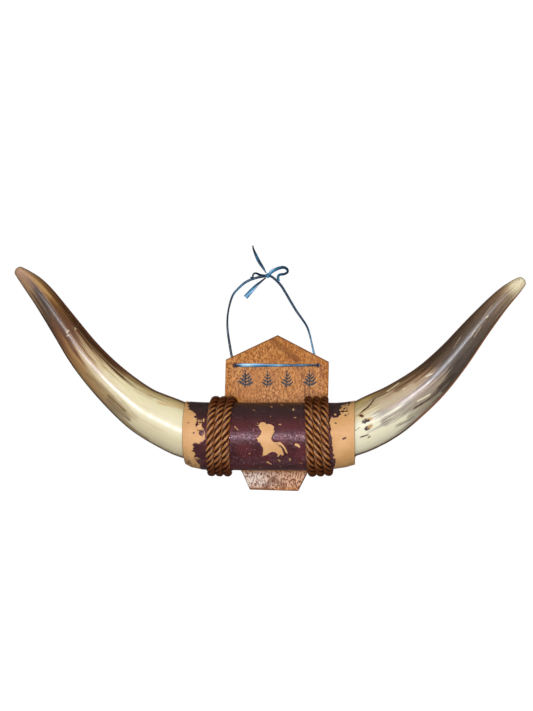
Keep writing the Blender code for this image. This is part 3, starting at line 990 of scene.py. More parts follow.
@dataclass
class Horn:
    """One curved horn: rings extruded along its centre line, then smoothed."""

    name: str
    node: str
    slot: Slot
    side: Side
    stations: Table
    finish: HornFinish
    sides: int = 24
    rings: int = 26
    levels: int = 3
    tip_round: float = 4.6
    mouth_radius: float = 25.0
    socket_radius: float = 14.0
    socket_depth: float = 40.0
    pits: Table = ()
    ridge_depth: float = 0.10
    growth_depth: float = 0.10

    def rows(self, count: int) -> Array:
        """Rows along the centre line.

        Args:
            count: How many rows.

        Returns:
            Rows of x, y, z and radius in mm, from base to tip.
        """
        points = [(x, AXIS_Y - sweep, z, radius)
                  for x, sweep, z, radius in self.stations]
        return smooth_rows(points, count)

    def ring(self, centre: Array, way: Array, radius: float) -> Array:
        """Points of one ring across the centre line.

        Args:
            centre: The ring's middle.
            way: Direction of the centre line there.
            radius: The ring's radius.

        Returns:
            The points, from the top round.
        """
        up = np.array((0.0, 0.0, 1.0))
        across = unit(np.cross(way, up))
        top = unit(np.cross(across, way))
        angle = 2 * math.pi * np.arange(self.sides)[:, None] / self.sides
        return centre + radius * (np.cos(angle) * top + np.sin(angle) * across)

    def skin_rings(self) -> list[Array]:
        """Rings of the horn's outside.

        Returns:
            The points of each ring in mm, from base to tip.
        """
        rows = self.rows(self.rings)
        ways = travel(rows[:, :3])
        ways[0] = (self.side.value, 0.0, 0.0)
        ease = 6 / (4 + 2 * math.cos(2 * math.pi / self.sides))
        rings = [self.ring(row[:3], way, row[3] * ease)
                 for row, way in zip(rows, ways)]
        end, way = rows[-1], ways[-1]
        for degrees in (32.0, 58.0, 76.0, 86.0):
            angle = math.radians(degrees)
            centre = end[:3] + way * self.tip_round * math.sin(angle)
            rings.append(self.ring(centre, way,
                                   end[3] * ease * math.cos(angle)))
        return rings

    def extrude_skin(self) -> Piece:
        """Extrude a circle ring by ring along the centre line.

        Returns:
            The horn's coarse skin, open at its base.
        """
        rings = [ring * MM for ring in self.skin_rings()]
        bpy.ops.mesh.primitive_circle_add(vertices=self.sides, radius=0.01)
        horn = bpy.context.object
        horn.name = self.name
        bpy.ops.object.mode_set(mode="EDIT")
        work = bmesh.from_edit_mesh(horn.data)
        work.verts.ensure_lookup_table()
        ordered = list(work.verts)
        for place, vertex in zip(rings[0], ordered):
            vertex.co = place
        before = rings[0]
        nudge = Vector((0.0, 0.0, 0.0001))
        for ring in rings[1:]:
            bpy.ops.mesh.extrude_region_move(
                TRANSFORM_OT_translate={"value": nudge})
            work = bmesh.from_edit_mesh(horn.data)
            for vertex in [v for v in work.verts if v.select]:
                away = before + np.array(nudge) - np.array(vertex.co)
                vertex.co = ring[int(np.argmin((away ** 2).sum(axis=1)))]
            bmesh.update_edit_mesh(horn.data)
            before = ring
        bpy.ops.mesh.edge_face_add()
        face_outwards()
        return horn

    def surface_place(self, places: Array) -> tuple[Array, ...]:
        """Length along the horn and angle from the front of surface points.

        Args:
            places: Rows of x, y, z in metres.

        Returns:
            Length in mm, cosine and sine of the angle, upwards positive.
        """
        rows = self.rows(400)
        line = rows[:, :3]
        ways = travel(line)
        reach = np.linspace(0.0, self.finish.length, len(rows))
        points = places / MM
        nearest = np.empty(len(points), dtype=int)
        for start in range(0, len(points), 4000):
            part = points[start:start + 4000]
            gap = ((part[:, None, :] - line[None]) ** 2).sum(axis=2)
            nearest[start:start + 4000] = gap.argmin(axis=1)
        way = ways[nearest]
        away = points - line[nearest]
        along = (away * way).sum(axis=1)
        away = away - way * along[:, None]
        front = np.array((0.0, -1.0, 0.0))
        ahead = unit(front - way * (way @ front)[:, None])
        above = unit(np.cross(way, ahead)) * -self.side.value
        a = (away * ahead).sum(axis=1)
        b = (away * above).sum(axis=1)
        size = np.maximum(np.hypot(a, b), 1e-6)
        return reach[nearest] + along, a / size, b / size

    def carve(self, horn: Piece) -> None:
        """Cut growth rings, shallow ridges and pits into the horn's skin.

        Args:
            horn: The smoothed horn. Its skin also takes the values that the
                finish reads.
        """
        places = vertex_places(horn)
        reach, ahead, above = self.surface_place(places)
        angle = np.arctan2(above, ahead)
        depth = self.ridge_depth * (
            1 + np.sin(angle * 9 + 0.02 * reach)) / 2
        rings = (np.sin(reach * 0.52 + 1.3 * np.sin(angle))
                 + np.sin(reach * 0.31 + 0.8)) / 2
        near_base = np.clip(1.4 - reach / 150, 0, 1)
        depth += self.growth_depth * (rings + 1) / 2 * near_base
        for length, degrees, long, wide, deep in self.pits:
            u = (reach - length) / long
            v = (np.degrees(angle) - degrees) * HORN_ARC / wide
            depth += deep * np.exp(-(u * u + v * v))
        fade = np.clip(self.finish.length - 2.0 - reach, 0, 12) / 12
        normal = vertex_normals(horn)
        move_vertices(horn, places - normal * (depth * fade)[:, None] * MM)
        paint_values(horn, "grain", np.stack([ahead, above, reach], axis=1))

    def hollow(self, horn: Piece) -> None:
        """Extrude the open base inwards into the socket for the joiner.

        Args:
            horn: The carved horn, open at its base.
        """
        start = self.stations[0][0]
        inward = self.side.value * self.socket_depth
        edit_open_edges(horn)
        for x, radius in ((start, self.mouth_radius),
                          (start + inward, self.socket_radius)):
            bpy.ops.mesh.extrude_region_move()
            work = bmesh.from_edit_mesh(horn.data)
            for vertex in [v for v in work.verts if v.select]:
                away = Vector((0.0, vertex.co.y - AXIS_Y * MM,
                               vertex.co.z - CORE_Z * MM)).normalized()
                vertex.co = (x * MM, AXIS_Y * MM + away.y * radius * MM,
                             CORE_Z * MM + away.z * radius * MM)
            bmesh.update_edit_mesh(horn.data)
        bpy.ops.mesh.edge_face_add()
        face_outwards()

    def build(self) -> Piece:
        """Make the finished horn."""
        horn = self.extrude_skin()
        apply_modifier(horn, "SUBSURF", levels=self.levels)
        self.carve(horn)
        self.hollow(horn)
        return settle(horn, self.slot, self.finish.material(), [self.node])


# The sleeve

@dataclass
class PeelMap:
    """Where the sleeve's skin has peeled: outlines of x mm and degrees."""

    bare: tuple[Table, ...]
    skin: tuple[Table, ...]
    left_edge: Table
    right_edge: Table

    @staticmethod
    def flat(outline: Table) -> Array:
        """An outline with its angles turned into millimetres of arc."""
        points = np.array(outline, dtype=float)
        points[:, 1] = np.radians(points[:, 1]) * SLEEVE_RADIUS
        return points

    @staticmethod
    def inside(x: Array, arc: Array, outline: Array) -> Array:
        """Distance to an outline.

        Args:
            x: Places along the sleeve, in mm.
            arc: Places round the sleeve, in mm.
            outline: The outline's corners in the same units.

        Returns:
            The distance in mm, positive inside the outline.
        """
        ends = np.roll(outline, -1, axis=0)
        best = np.full(x.shape, 1e9)
        within = np.zeros(x.shape, dtype=bool)
        for (ax, ay), (bx, by) in zip(outline, ends):
            run = np.array((bx - ax, by - ay))
            size = max(float(run @ run), 1e-9)
            t = np.clip(((x - ax) * run[0] + (arc - ay) * run[1]) / size, 0, 1)
            best = np.minimum(best, np.hypot(x - ax - t * run[0],
                                             arc - ay - t * run[1]))
            crossing = (ay > arc) != (by > arc)
            slope = (bx - ax) / (by - ay) if by != ay else 0.0
            within ^= crossing & (x < ax + (arc - ay) * slope)
        return np.where(within, best, -best)

    def depth(self, x: Array, arc: Array) -> Array:
        """Distance into the bare backing.

        Args:
            x: Places along the sleeve, in mm.
            arc: Places round the sleeve, in mm.

        Returns:
            The distance in mm, negative under the skin.
        """
        girth = 2 * math.pi * SLEEVE_RADIUS
        value = np.full(x.shape, -1e9)
        for edge, far in ((self.left_edge, -140.0), (self.right_edge, 140.0)):
            outline = np.vstack([(far, 400.0), self.flat(edge), (far, -400.0)])
            value = np.maximum(value, self.inside(x, arc, outline))
        for outline in self.bare:
            for turn in (-girth, 0.0, girth):
                flat = self.flat(outline) + (0.0, turn)
                value = np.maximum(value, self.inside(x, arc, flat))
        for outline in self.skin:
            value = np.minimum(value, -self.inside(x, arc, self.flat(outline)))
        return value


@dataclass
class Sleeve:
    """Thin tube of leather-like sheet rolled round the horns' bases."""

    peel: PeelMap
    finish: SleeveFinish = SleeveFinish()
    along: int = 256
    around: int = 320
    skin_thick: float = 0.35
    sheet: Array = field(init=False)

    def rolled(self, u: Array, v: Array) -> Array:
        """Places of the outer sheet.

        Args:
            u: Shares along the sleeve.
            v: Shares around it.

        Returns:
            The places in metres.
        """
        first, last = SLEEVE_STATIONS[0][0], SLEEVE_STATIONS[-1][0]
        x = first + (last - first) * u
        angle = math.pi * (2 * v - 1)
        lift, radius = sleeve_section(x)
        self.sheet = np.stack([x, angle], axis=1)
        return np.stack([x, AXIS_Y - radius * np.cos(angle),
                         lift + radius * np.sin(angle)], axis=1) * MM

    def relief(self, outer: Piece) -> None:
        """Sink the bare backing below the skin and gather the end.

        Args:
            outer: The rolled sheet. It also takes the values that the finish
                reads.
        """
        x, angle = self.sheet[:, 0], self.sheet[:, 1]
        depth = self.peel.depth(x, angle * SLEEVE_RADIUS)
        sunk = self.skin_thick * np.clip(0.5 + depth / 1.2, 0, 1)
        degrees = np.degrees(angle)
        # Small folds gather the sheet at its lower left end.
        corner = np.exp(-((x + 98) / 9) ** 2 - ((degrees + 64) / 20) ** 2)
        sunk += corner * 0.22 * (1 + np.sin(degrees * 0.42 - x * 0.75))
        sunk += corner * 0.12 * (1 + np.sin(degrees * 1.1 + x * 0.9))
        # Elsewhere it lies a little slack.
        slack = (np.sin(x * 0.11 + 1.0) * np.sin(angle * 3 + 0.5) + 1) / 2
        sunk += 0.22 * slack
        outward = np.stack([0 * x, -np.cos(angle), np.sin(angle)], axis=1)
        places = vertex_places(outer)
        move_vertices(outer, places - outward * sunk[:, None] * MM)
        paint_values(outer, "peel", np.clip(depth, -8, 8))
        paint_values(outer, "grime", np.clip(corner * 1.1, 0, 1))
        # The skin's border is ragged at the ends and crumbles in two places.
        near_end = np.clip((np.abs(x + 2.4) - 60) / 12, 0, 1)
        crumbly = np.exp(-((x - 90) / 8) ** 2 - ((degrees - 56) / 18) ** 2)
        crumbly += 0.35 * np.exp(-((x + 80) / 5) ** 2
                                 - ((degrees - 16) / 16) ** 2)
        paint_values(outer, "ragged", 0.16 + 0.45 * near_end + 3.0 * crumbly)

    @staticmethod
    def pull_in(outer: Piece) -> None:
        """Pull the selected vertices in to the inner wall.

        Args:
            outer: The sleeve in edit.
        """
        work = bmesh.from_edit_mesh(outer.data)
        for vertex in [v for v in work.verts if v.select]:
            lift, radius = sleeve_section(np.array(vertex.co.x / MM))
            centre = Vector((vertex.co.x, AXIS_Y * MM, float(lift) * MM))
            away = (vertex.co - centre).normalized()
            vertex.co = centre + away * (float(radius) - SLEEVE_WALL) * MM
        bmesh.update_edit_mesh(outer.data)

    def add_wall(self, outer: Piece) -> None:
        """Fold both rims inwards and bridge them into the inner wall.

        Args:
            outer: The sleeve's outer sheet, closed along its seam.
        """
        edit_open_edges(outer)
        bpy.ops.mesh.extrude_region_move()
        self.pull_in(outer)
        bpy.ops.mesh.bridge_edge_loops(number_cuts=10)
        self.pull_in(outer)
        face_outwards()

    def mark_cut_edges_and_inside_shade(self, sleeve: Piece) -> None:
        """Store where the sheet's raw cut edge shows at both ends, and its
        inner wall, which is painted dark as shade.

        Args:
            sleeve: The sleeve with its inner wall.
        """
        places = vertex_places(sleeve) / MM
        lift, radius = sleeve_section(places[:, 0])
        away = np.hypot(places[:, 1] - AXIS_Y, places[:, 2] - lift)
        # Painted shade: the whole inner wall takes the dark colour.
        inner = np.clip((radius - away - 0.9) / 0.4, 0, 1)
        first, last = SLEEVE_STATIONS[0][0], SLEEVE_STATIONS[-1][0]
        end = np.minimum(places[:, 0] - first, last - places[:, 0])
        rim = 0.75 * np.clip(1 - end / 0.7, 0, 1)
        paint_values(sleeve, "cut_edge_and_inside_shade", np.maximum(inner, rim))

    def build(self) -> Piece:
        """Make the finished sleeve."""
        sleeve = sheet_grid("peeling_sleeve", self.along, self.around,
                            self.rolled)
        self.relief(sleeve)
        close_tube(sleeve, caps=False)
        self.add_wall(sleeve)
        self.mark_cut_edges_and_inside_shade(sleeve)
        return settle(sleeve, Slot.SLEEVE, self.finish.material(), ["sleeve"],
                      60.0)


# The rope lashings

@dataclass
class Lashing:
    """Three turns of three-strand laid rope round the sleeve."""

    name: str
    node: str
    centre_x: float
    slant: int
    material: Material
    turns: int = 3
    pitch: float = 8.85
    spread: float = 0.08
    lay: float = 25.2
    strands: int = 3
    yarns: int = 7
    half_across: float = 4.8
    wobble: float = 0.22
    yarn_depth: float = 0.10
    steps: int = 540
    sides: int = 28
    crown: Array = field(init=False)
    strand: Array = field(init=False)

    def strand_places(self, number: int, u: Array, v: Array) -> Array:
        """Places of one strand's surface.

        Args:
            number: Which strand, from 0.
            u: Shares along the strand.
            v: Shares around it.

        Returns:
            The places in metres.
        """
        turn = self.turns * u
        angle = 2 * math.pi * turn
        spread = 1 + self.spread * np.abs(np.sin(angle))
        from_middle = (turn - self.turns / 2) * self.pitch * spread
        x = self.centre_x + self.slant * from_middle
        lift, radius = sleeve_section(x)
        lashing = SLEEVE_RADIUS + GAP + ROPE_HALF_THICK
        run = 2 * math.pi * lashing * turn
        twist = self.slant * 2 * math.pi * run / self.lay
        around = np.stack([0 * x, np.cos(angle), -np.sin(angle)], axis=1)
        middle = np.stack([x, 0 * x + AXIS_Y, lift], axis=1) + around * (
            radius + GAP + ROPE_HALF_THICK)[:, None]
        turned = 2 * math.pi * number / self.strands - twist
        turned += self.wobble * np.sin(run / 9.0 + self.centre_x)
        edge = 2 * math.pi * v
        yarn = edge * self.yarns / 2 + twist * 0.9
        size = 1 - self.yarn_depth * (1 - np.abs(np.cos(yarn)))
        across = 0.5 * np.cos(turned) + 0.5 * size * np.cos(edge + turned)
        out = 0.5 * np.sin(turned) + 0.5 * size * np.sin(edge + turned)
        ridge = 0.72 + 0.28 * np.abs(np.cos(yarn))
        self.crown = np.hypot(across, out) * ridge
        self.strand = np.stack([np.cos(edge), np.sin(edge) + 9 * number, run],
                               axis=1)
        return (middle + np.array((1.0, 0.0, 0.0))
                * (across * self.half_across)[:, None]
                + around * (out * ROPE_HALF_THICK)[:, None]) * MM

    def build(self) -> Piece:
        """Make the finished lashing."""
        strands = []
        for number in range(self.strands):
            strand = sheet_grid(f"{self.name}_{number}", self.steps, self.sides,
                                partial(self.strand_places, number))
            paint_values(strand, "crown", self.crown)
            paint_values(strand, "strand", self.strand)
            close_tube(strand)
            strands.append(strand)
        rope = join(strands, self.name)
        return settle(rope, Slot.ROPE, self.material, [self.node], 50.0)


# The plaque

@dataclass
class Plaque:
    """Shield-shaped board with drilled holes, hung a little crooked."""

    finish: BoardFinish = BoardFinish()
    ink: InkFinish = InkFinish()
    half_width: float = 63.2
    apex: float = 124.0
    shoulder: float = 92.6
    taper: float = 3.3
    bottom: float = -65.5
    foot: float = 29.4
    turn: float = math.radians(1.26)
    hole_radius: float = 2.0
    groove_width: float = 3.6
    groove_depth: float = 3.4
    groove_past: float = 8.0
    overcut: float = 1.0
    bore_radius: float = 2.3
    head_radius: float = 5.2
    ink_out: float = PLAQUE_THICK + 0.02
    sprig_height: float = 22.0
    sprigs: Table = ((-37.3, 70.7, 24.0), (-10.3, 70.7, 17.0),
                     (13.6, 70.7, 18.0), (41.2, 70.7, 21.0))

    def board(self) -> Piece:
        """Saw the board's outline out of a block and ease its edges.

        Returns:
            The board, without its holes.
        """
        tall = self.apex - self.bottom
        bpy.ops.mesh.primitive_cube_add(
            size=1.0, scale=(2 * self.half_width * MM, PLAQUE_THICK * MM,
                             tall * MM),
            location=(0.0, -PLAQUE_THICK / 2 * MM,
                      (self.apex + self.bottom) / 2 * MM))
        board = bpy.context.object
        board.name = "lacquered_plaque"
        bake_place()
        bpy.ops.object.mode_set(mode="EDIT")
        slope = self.apex - self.shoulder
        drop = self.taper - self.bottom
        inset = self.half_width - self.foot
        for side in (-1, 1):
            for point, normal in (
                    ((0.0, self.apex), (side * slope, self.half_width)),
                    ((side * self.half_width, self.taper),
                     (side * drop, -inset))):
                bpy.ops.mesh.select_all(action="SELECT")
                bpy.ops.mesh.bisect(
                    plane_co=(point[0] * MM, 0.0, point[1] * MM),
                    plane_no=Vector((normal[0], 0.0, normal[1])).normalized(),
                    use_fill=True, clear_outer=True)
        face_outwards()
        board.rotation_euler.y = self.turn
        bake_place()
        apply_modifier(board, "BEVEL", width=0.8 * MM, segments=3,
                       limit_method="ANGLE", angle_limit=math.radians(60))
        return board

    @staticmethod
    def bore(board: Piece, x: float, z: float, radius: float) -> None:
        """Drill straight through the board.

        Args:
            board: The board.
            x: The hole's place across, in mm.
            z: The hole's place up, in mm.
            radius: The hole's radius in mm.
        """
        bpy.ops.mesh.primitive_cylinder_add(
            vertices=40, radius=radius * MM, depth=(PLAQUE_THICK + 4) * MM,
            location=(x * MM, -PLAQUE_THICK / 2 * MM, z * MM),
            rotation=(math.pi / 2, 0, 0))
        cut(board, bpy.context.object)

    def drill(self, board: Piece) -> None:
        """Drill the ribbon holes, their grooves and the screw bores.

        Args:
            board: The board.
        """
        for (x, z), (end_x, end_z) in zip(HOLES, GROOVE_ENDS):
            self.bore(board, x, z, self.hole_radius)
            run = math.hypot(end_x - x, end_z - z) + self.groove_past
            lean = math.atan2(end_x - x, end_z - z)
            middle_x = x + math.sin(lean) * run / 2
            middle_z = z + math.cos(lean) * run / 2
            start, end = self.overcut, -self.groove_depth
            bpy.ops.mesh.primitive_cube_add(
                size=1.0, rotation=(0, lean, 0),
                scale=(self.groove_width * MM, (start - end) * MM, run * MM),
                location=(middle_x * MM, (start + end) / 2 * MM,
                          middle_z * MM))
            cut(board, bpy.context.object)
        for x in (-SCREW_X, SCREW_X):
            self.bore(board, x, CORE_Z, self.bore_radius)
            bpy.ops.mesh.primitive_cone_add(
                vertices=40, radius1=self.head_radius * MM,
                radius2=self.bore_radius * MM, depth=4.0 * MM,
                location=(x * MM, -1.3 * MM, CORE_Z * MM),
                rotation=(math.pi / 2, 0, 0))
            cut(board, bpy.context.object)

    def leaf(self, x: float, z: float, long: float, lean: float) -> Piece:
        """One flat inked leaf with pointed ends.

        Args:
            x: Place of its root across, in mm.
            z: Place of its root up, in mm.
            long: Length of the leaf in mm.
            lean: Direction from the root, in degrees from straight up.

        Returns:
            The leaf.
        """
        wide = 0.30 * long

        def place(u: Array, v: Array) -> Array:
            """Places of the leaf's face."""
            half = wide * np.sin(math.pi * u ** 0.8) * (v - 0.5)
            bend = 0.10 * long * np.sin(math.pi * u)
            a = math.radians(lean)
            along = long * u
            side = half + bend
            return np.stack([
                (x + along * math.sin(a) + side * math.cos(a)) * MM,
                0 * u - self.ink_out * MM,
                (z + along * math.cos(a) - side * math.sin(a)) * MM], axis=1)
        return sheet_grid("leaf", 10, 4, place)

    def sprig(self, number: int, x: float, z: float, wide: float) -> Piece:
        """A stem with paired leaves, as one flat inked motif.

        Args:
            number: Which sprig, from 1.
            x: Its middle across, in mm.
            z: Its middle up, in mm.
            wide: Its width in mm.

        Returns:
            The motif.
        """
        tall = self.sprig_height
        low = z - tall / 2

        def stem(u: Array, v: Array) -> Array:
            """Places of the stem's face."""
            sway = 0.05 * wide * np.sin(2.6 * u)
            half = (0.9 + 0.9 * (1 - u)) * (v - 0.5)
            return np.stack([(x + sway + half) * MM, 0 * u - self.ink_out * MM,
                             (low + tall * 0.8 * u) * MM], axis=1)
        parts = [sheet_grid("stem", 16, 2, stem)]
        for step in range(4):
            share = 0.12 + 0.2 * step
            root = low + tall * 0.8 * share
            long = wide * (0.50 - 0.07 * step)
            for side in (-1, 1):
                shift = 0.8 if side > 0 else 0.0
                parts.append(self.leaf(x + 0.05 * wide * math.sin(2.6 * share),
                                       root + shift, long,
                                       side * (62 - 9 * step)))
        parts.append(self.leaf(x, low + tall * 0.78, tall * 0.24, 0.0))
        motif = join(parts, f"ink_sprig_{number}")
        apply_modifier(motif, "SOLIDIFY", thickness=0.06 * MM, offset=0.0)
        return motif

    def build(self) -> None:
        """Make the board and its four inked motifs."""
        board = self.board()
        self.drill(board)
        settle(board, Slot.PLAQUE, self.finish.material(), ["plaque"], 30.0)
        ink = self.ink.material()
        for number, (x, z, wide) in enumerate(self.sprigs, 1):
            settle(self.sprig(number, x, z, wide), Slot.PLAQUE, ink)


# The ribbon

@dataclass
class RibbonStrip:
    """A strip of curling ribbon along a route.

    Each row of the route is x, distance in front of the wall, z, the strip's
    width and how far it curls across, in degrees.
    """

    name: str
    nodes: tuple[str, ...]
    route: Table
    turns: tuple[float, ...] = (0.0, 0.0)
    light_levels: tuple[float, ...] = (0.5, 0.5)
    thick: float = 0.2
    step: float = 0.9
    across: int = 10
    lane: Array = field(init=False)
    light_level: Array = field(init=False)

    def lay(self) -> tuple[Array, ...]:
        """Lay out the strip's route.

        Returns:
            Places, sideways and outward directions and the route's own rows,
            evenly along the strip.
        """
        rough = np.array(self.route, dtype=float)
        run = np.linalg.norm(np.diff(rough[:, :3], axis=0), axis=1).sum()
        rows = smooth_rows(self.route, max(int(run / self.step), 12))
        path = np.stack([rows[:, 0], -rows[:, 1], rows[:, 2]], axis=1)
        ways = travel(path)
        out = np.array((0.0, -1.0, 0.0))
        outs = []
        for way in ways:
            out = out - way * (out @ way)
            out = out / np.linalg.norm(out)
            outs.append(out)
        outs = np.array(outs)
        share = np.linspace(0, 1, len(path))
        given = np.linspace(0, 1, len(self.turns))
        angle = np.radians(np.interp(share, given, self.turns))[:, None]
        sides = np.cross(ways, outs)
        return (path, sides * np.cos(angle) - outs * np.sin(angle),
                outs * np.cos(angle) + sides * np.sin(angle), rows)

    def shape(self) -> Piece:
        """Make the strip, without its finish."""
        path, sides, outs, rows = self.lay()
        count = len(path) - 1

        def place(u: Array, v: Array) -> Array:
            """Places of the strip's middle surface."""
            k = np.rint(u * count).astype(int)
            wide = rows[k, 3]
            curl = np.radians(np.maximum(rows[k, 4], 1.0))
            bend = wide / curl
            angle = curl * (v - 0.5)
            centre = bend * np.sin(curl / 2) / (curl / 2)
            self.lane = np.stack([u * count * self.step, (v - 0.5) * wide,
                                  np.abs(2 * v - 1)], axis=1)
            self.light_level = np.interp(u, np.linspace(0, 1, len(self.light_levels)),
                                  self.light_levels)
            return (path[k] + sides[k] * (bend * np.sin(angle))[:, None]
                    + outs[k] * (bend * np.cos(angle) - centre)[:, None]) * MM
        strip = sheet_grid(self.name, count, self.across, place)
        paint_values(strip, "lane", self.lane)
        paint_values(strip, "light_level", self.light_level)
        apply_modifier(strip, "SOLIDIFY", thickness=self.thick * MM, offset=0.0)
        return strip

    def build(self, material: Material) -> Piece:
        """Make the finished strip."""
        return settle(self.shape(), Slot.RIBBON, material, self.nodes, 50.0)


@dataclass
class Ribbon:
    """The whole ribbon: front stretch, hanging loop, knot, bows and tails."""

    finish: RibbonFinish = RibbonFinish()
    loop_diameter: float = 2.6
    loop_route: Table = (
        (-50.2, 1.8, 87.8), (-51.8, 1.8, 92), (-54.3, 1.8, 99.1),
        (-56.9, 2.3, 114), (-59.2, 2.8, 129.5), (-59.8, 3.2, 143.5),
        (-58.3, 3.5, 157), (-53.4, 3.8, 173), (-46, 4, 182.3),
        (-36.5, 4.1, 190.2), (-25, 4.2, 194.9), (-14.7, 4.2, 197),
        (-9, 4.2, 197.8), (-3.2, 4.2, 195.2), (5.5, 4.1, 186.9),
        (12.2, 3.9, 176.8), (18.6, 3.7, 166), (25.6, 3.5, 154.5),
        (32.8, 3.2, 144.3), (37.9, 2.9, 136.4), (41.2, 2.6, 127.8),
        (44.4, 2.2, 114.3), (47.7, 1.8, 100.6), (50.3, 1.8, 93), (52, 1.8, 88))
    front_route: Table = (
        (-49.9, 3.7, 86.8, 3, 60), (-49.9, 8.7, 86.8, 3, 60),
        (-49.5, 10.5, 86.8, 3.2, 50), (-47.8, 10.9, 86.9, 3.8, 40),
        (-43, 10.8, 87, 4.4, 30), (-20, 10.8, 86.9, 4.4, 30),
        (0, 10.8, 86.8, 3.4, 60), (20, 10.8, 86.8, 3.2, 70),
        (46, 10.8, 86.9, 3, 60), (50.4, 10.9, 86.9, 2.8, 60),
        (52, 10.5, 86.9, 2.8, 60), (52.4, 8.7, 86.9, 2.8, 60),
        (52.4, 3.7, 86.9, 2.8, 60))
    # Painted light and shade along each strip: below 0 is shade, 1 is lit blue,
    # above 0.9 a pale highlight shows.
    front_light_levels: tuple[float, ...] = (
        -1, -0.6, 1.2, 1.3, 1.1, 0.7, 0.5, 1, 1.3, 0.7, 0.3, 0.5, 0.6, 0.1,
        -0.6, -1)
    loop_light_levels: tuple[float, ...] = (
        -0.1, -0.1, 0.1, 0.2, -0.1, -0.1, 1.1, 0.5, 0.2, 0.3, 0.2, 0.3, 0.3,
        0.3, 0.5, 0.9, 1.1, 1)
    loop_fold: Pair = (6.0, 232.0)
    knot_centre: Triple = (-9.6, 8.6, 197.6)
    knot_radii: Triple = (3.2, 2.7, 3.0)
    knot_bands: Table = ((0.6, 0.0, 0.84), (-0.75, 0.2, 0.92),
                         (0.1, -0.2, 0.98))
    tail_up: Table = (
        (-11.8, 9.2, 200.7, 1.4, 70), (-13.6, 9.4, 204, 2.2, 60),
        (-15.6, 9.4, 207.2, 3.2, 60), (-21, 9, 215.7, 4.2, 50),
        (-25, 8.4, 224.4, 3.8, 40), (-27.5, 8.2, 230.6, 2.8, 50),
        (-28.4, 8.6, 235, 2.2, 60))
    tail_down: Table = (
        (-12.3, 9.2, 194.9, 2.2, 70), (-18, 9.6, 190.2, 3, 60),
        (-24.4, 9.2, 184.6, 4.4, 50), (-30.4, 8.6, 178.4, 5.4, 40),
        (-37.2, 8.6, 170.8, 5.8, 30))
    bow_left: Table = (
        (-11.4, 8.6, 198, 3.4, 60), (-14.6, 8.6, 197.8, 4, 60),
        (-19.4, 8.8, 198.6, 4.6, 50), (-22.5, 9, 200.2, 4.6, 50),
        (-25.6, 9, 200.9, 4.6, 60), (-28.2, 8.8, 199, 4.4, 60),
        (-28.6, 8.6, 196, 4, 60), (-31.4, 8.6, 194.6, 3.6, 60))
    bow_right: Table = (
        (-8, 8.8, 198.8, 3.8, 50), (-5.4, 8.8, 202, 4.6, 50),
        (-0.9, 9, 204.6, 4.8, 50), (5.2, 9.2, 206.8, 4.8, 50),
        (10.2, 9.2, 207.2, 4.8, 60), (13.9, 9.2, 205, 4.8, 60),
        (14.2, 9, 201.8, 4.8, 60), (10.6, 8.8, 199.6, 4.6, 60),
        (5.6, 8.8, 198.9, 4.4, 60), (3.2, 8.8, 197.2, 4.2, 60),
        (2.9, 8.8, 193.6, 4, 60), (4, 8.8, 190.4, 3.4, 60))

    def band_places(self, lean: float, shift: float, swell: float, u: Array,
                    v: Array) -> Array:
        """Places of one rounded band of the knot.

        Args:
            lean: How far the band leans over, in radians.
            shift: Its place along the knot, as a share of the radius.
            swell: Its radius, as a share of the knot's.
            u: Shares round the knot.
            v: Shares round the band.

        Returns:
            The places in metres.
        """
        cx, out, cz = self.knot_centre
        rx, ry, rz = 0.97 * np.array(self.knot_radii)
        turn, tube = 2 * math.pi * u, 2 * math.pi * v
        belt = 0.42 * np.cos(tube) + shift
        ball = swell * np.sqrt(np.maximum(1 - belt ** 2, 0.05))
        ball += 0.10 * np.sin(tube)
        high = ball * np.sin(turn)
        x = belt * math.cos(lean) - high * math.sin(lean)
        z = belt * math.sin(lean) + high * math.cos(lean)
        return np.stack([cx + rx * x, ry * ball * np.cos(turn) - out,
                         cz + rz * z], axis=1) * MM

    def knot(self, material: Material) -> Piece:
        """Crossed bands of ribbon pulled tight round the loop's top.

        Args:
            material: The ribbon's finish.

        Returns:
            The knot.
        """
        cx, out, cz = self.knot_centre
        rx, ry, rz = self.knot_radii
        parts = []
        for number, (lean, shift, swell) in enumerate(self.knot_bands):
            band = sheet_grid(f"band_{number}", 48, 16,
                              partial(self.band_places, lean, shift, swell))
            close_tube(band, caps=False)
            parts.append(band)
        bpy.ops.mesh.primitive_uv_sphere_add(
            segments=32, ring_count=16, radius=1.0,
            location=(cx * MM, -out * MM, cz * MM),
            scale=(rx * 0.8 * MM, ry * 0.8 * MM, rz * 0.8 * MM))
        bake_place()
        parts.append(bpy.context.object)
        # Painted shade on the knot's core, lighter on its bands.
        for part, light_level in zip(parts, (0.75, 0.75, 0.75, 0.3)):
            places = vertex_places(part)
            paint_values(part, "lane", places / MM * (1, 1, 0))
            paint_values(part, "light_level", np.full(len(places), light_level))
        knot = join(parts, "tight_knot")
        return settle(knot, Slot.RIBBON, material, ["ribbon_knot"], 60.0)

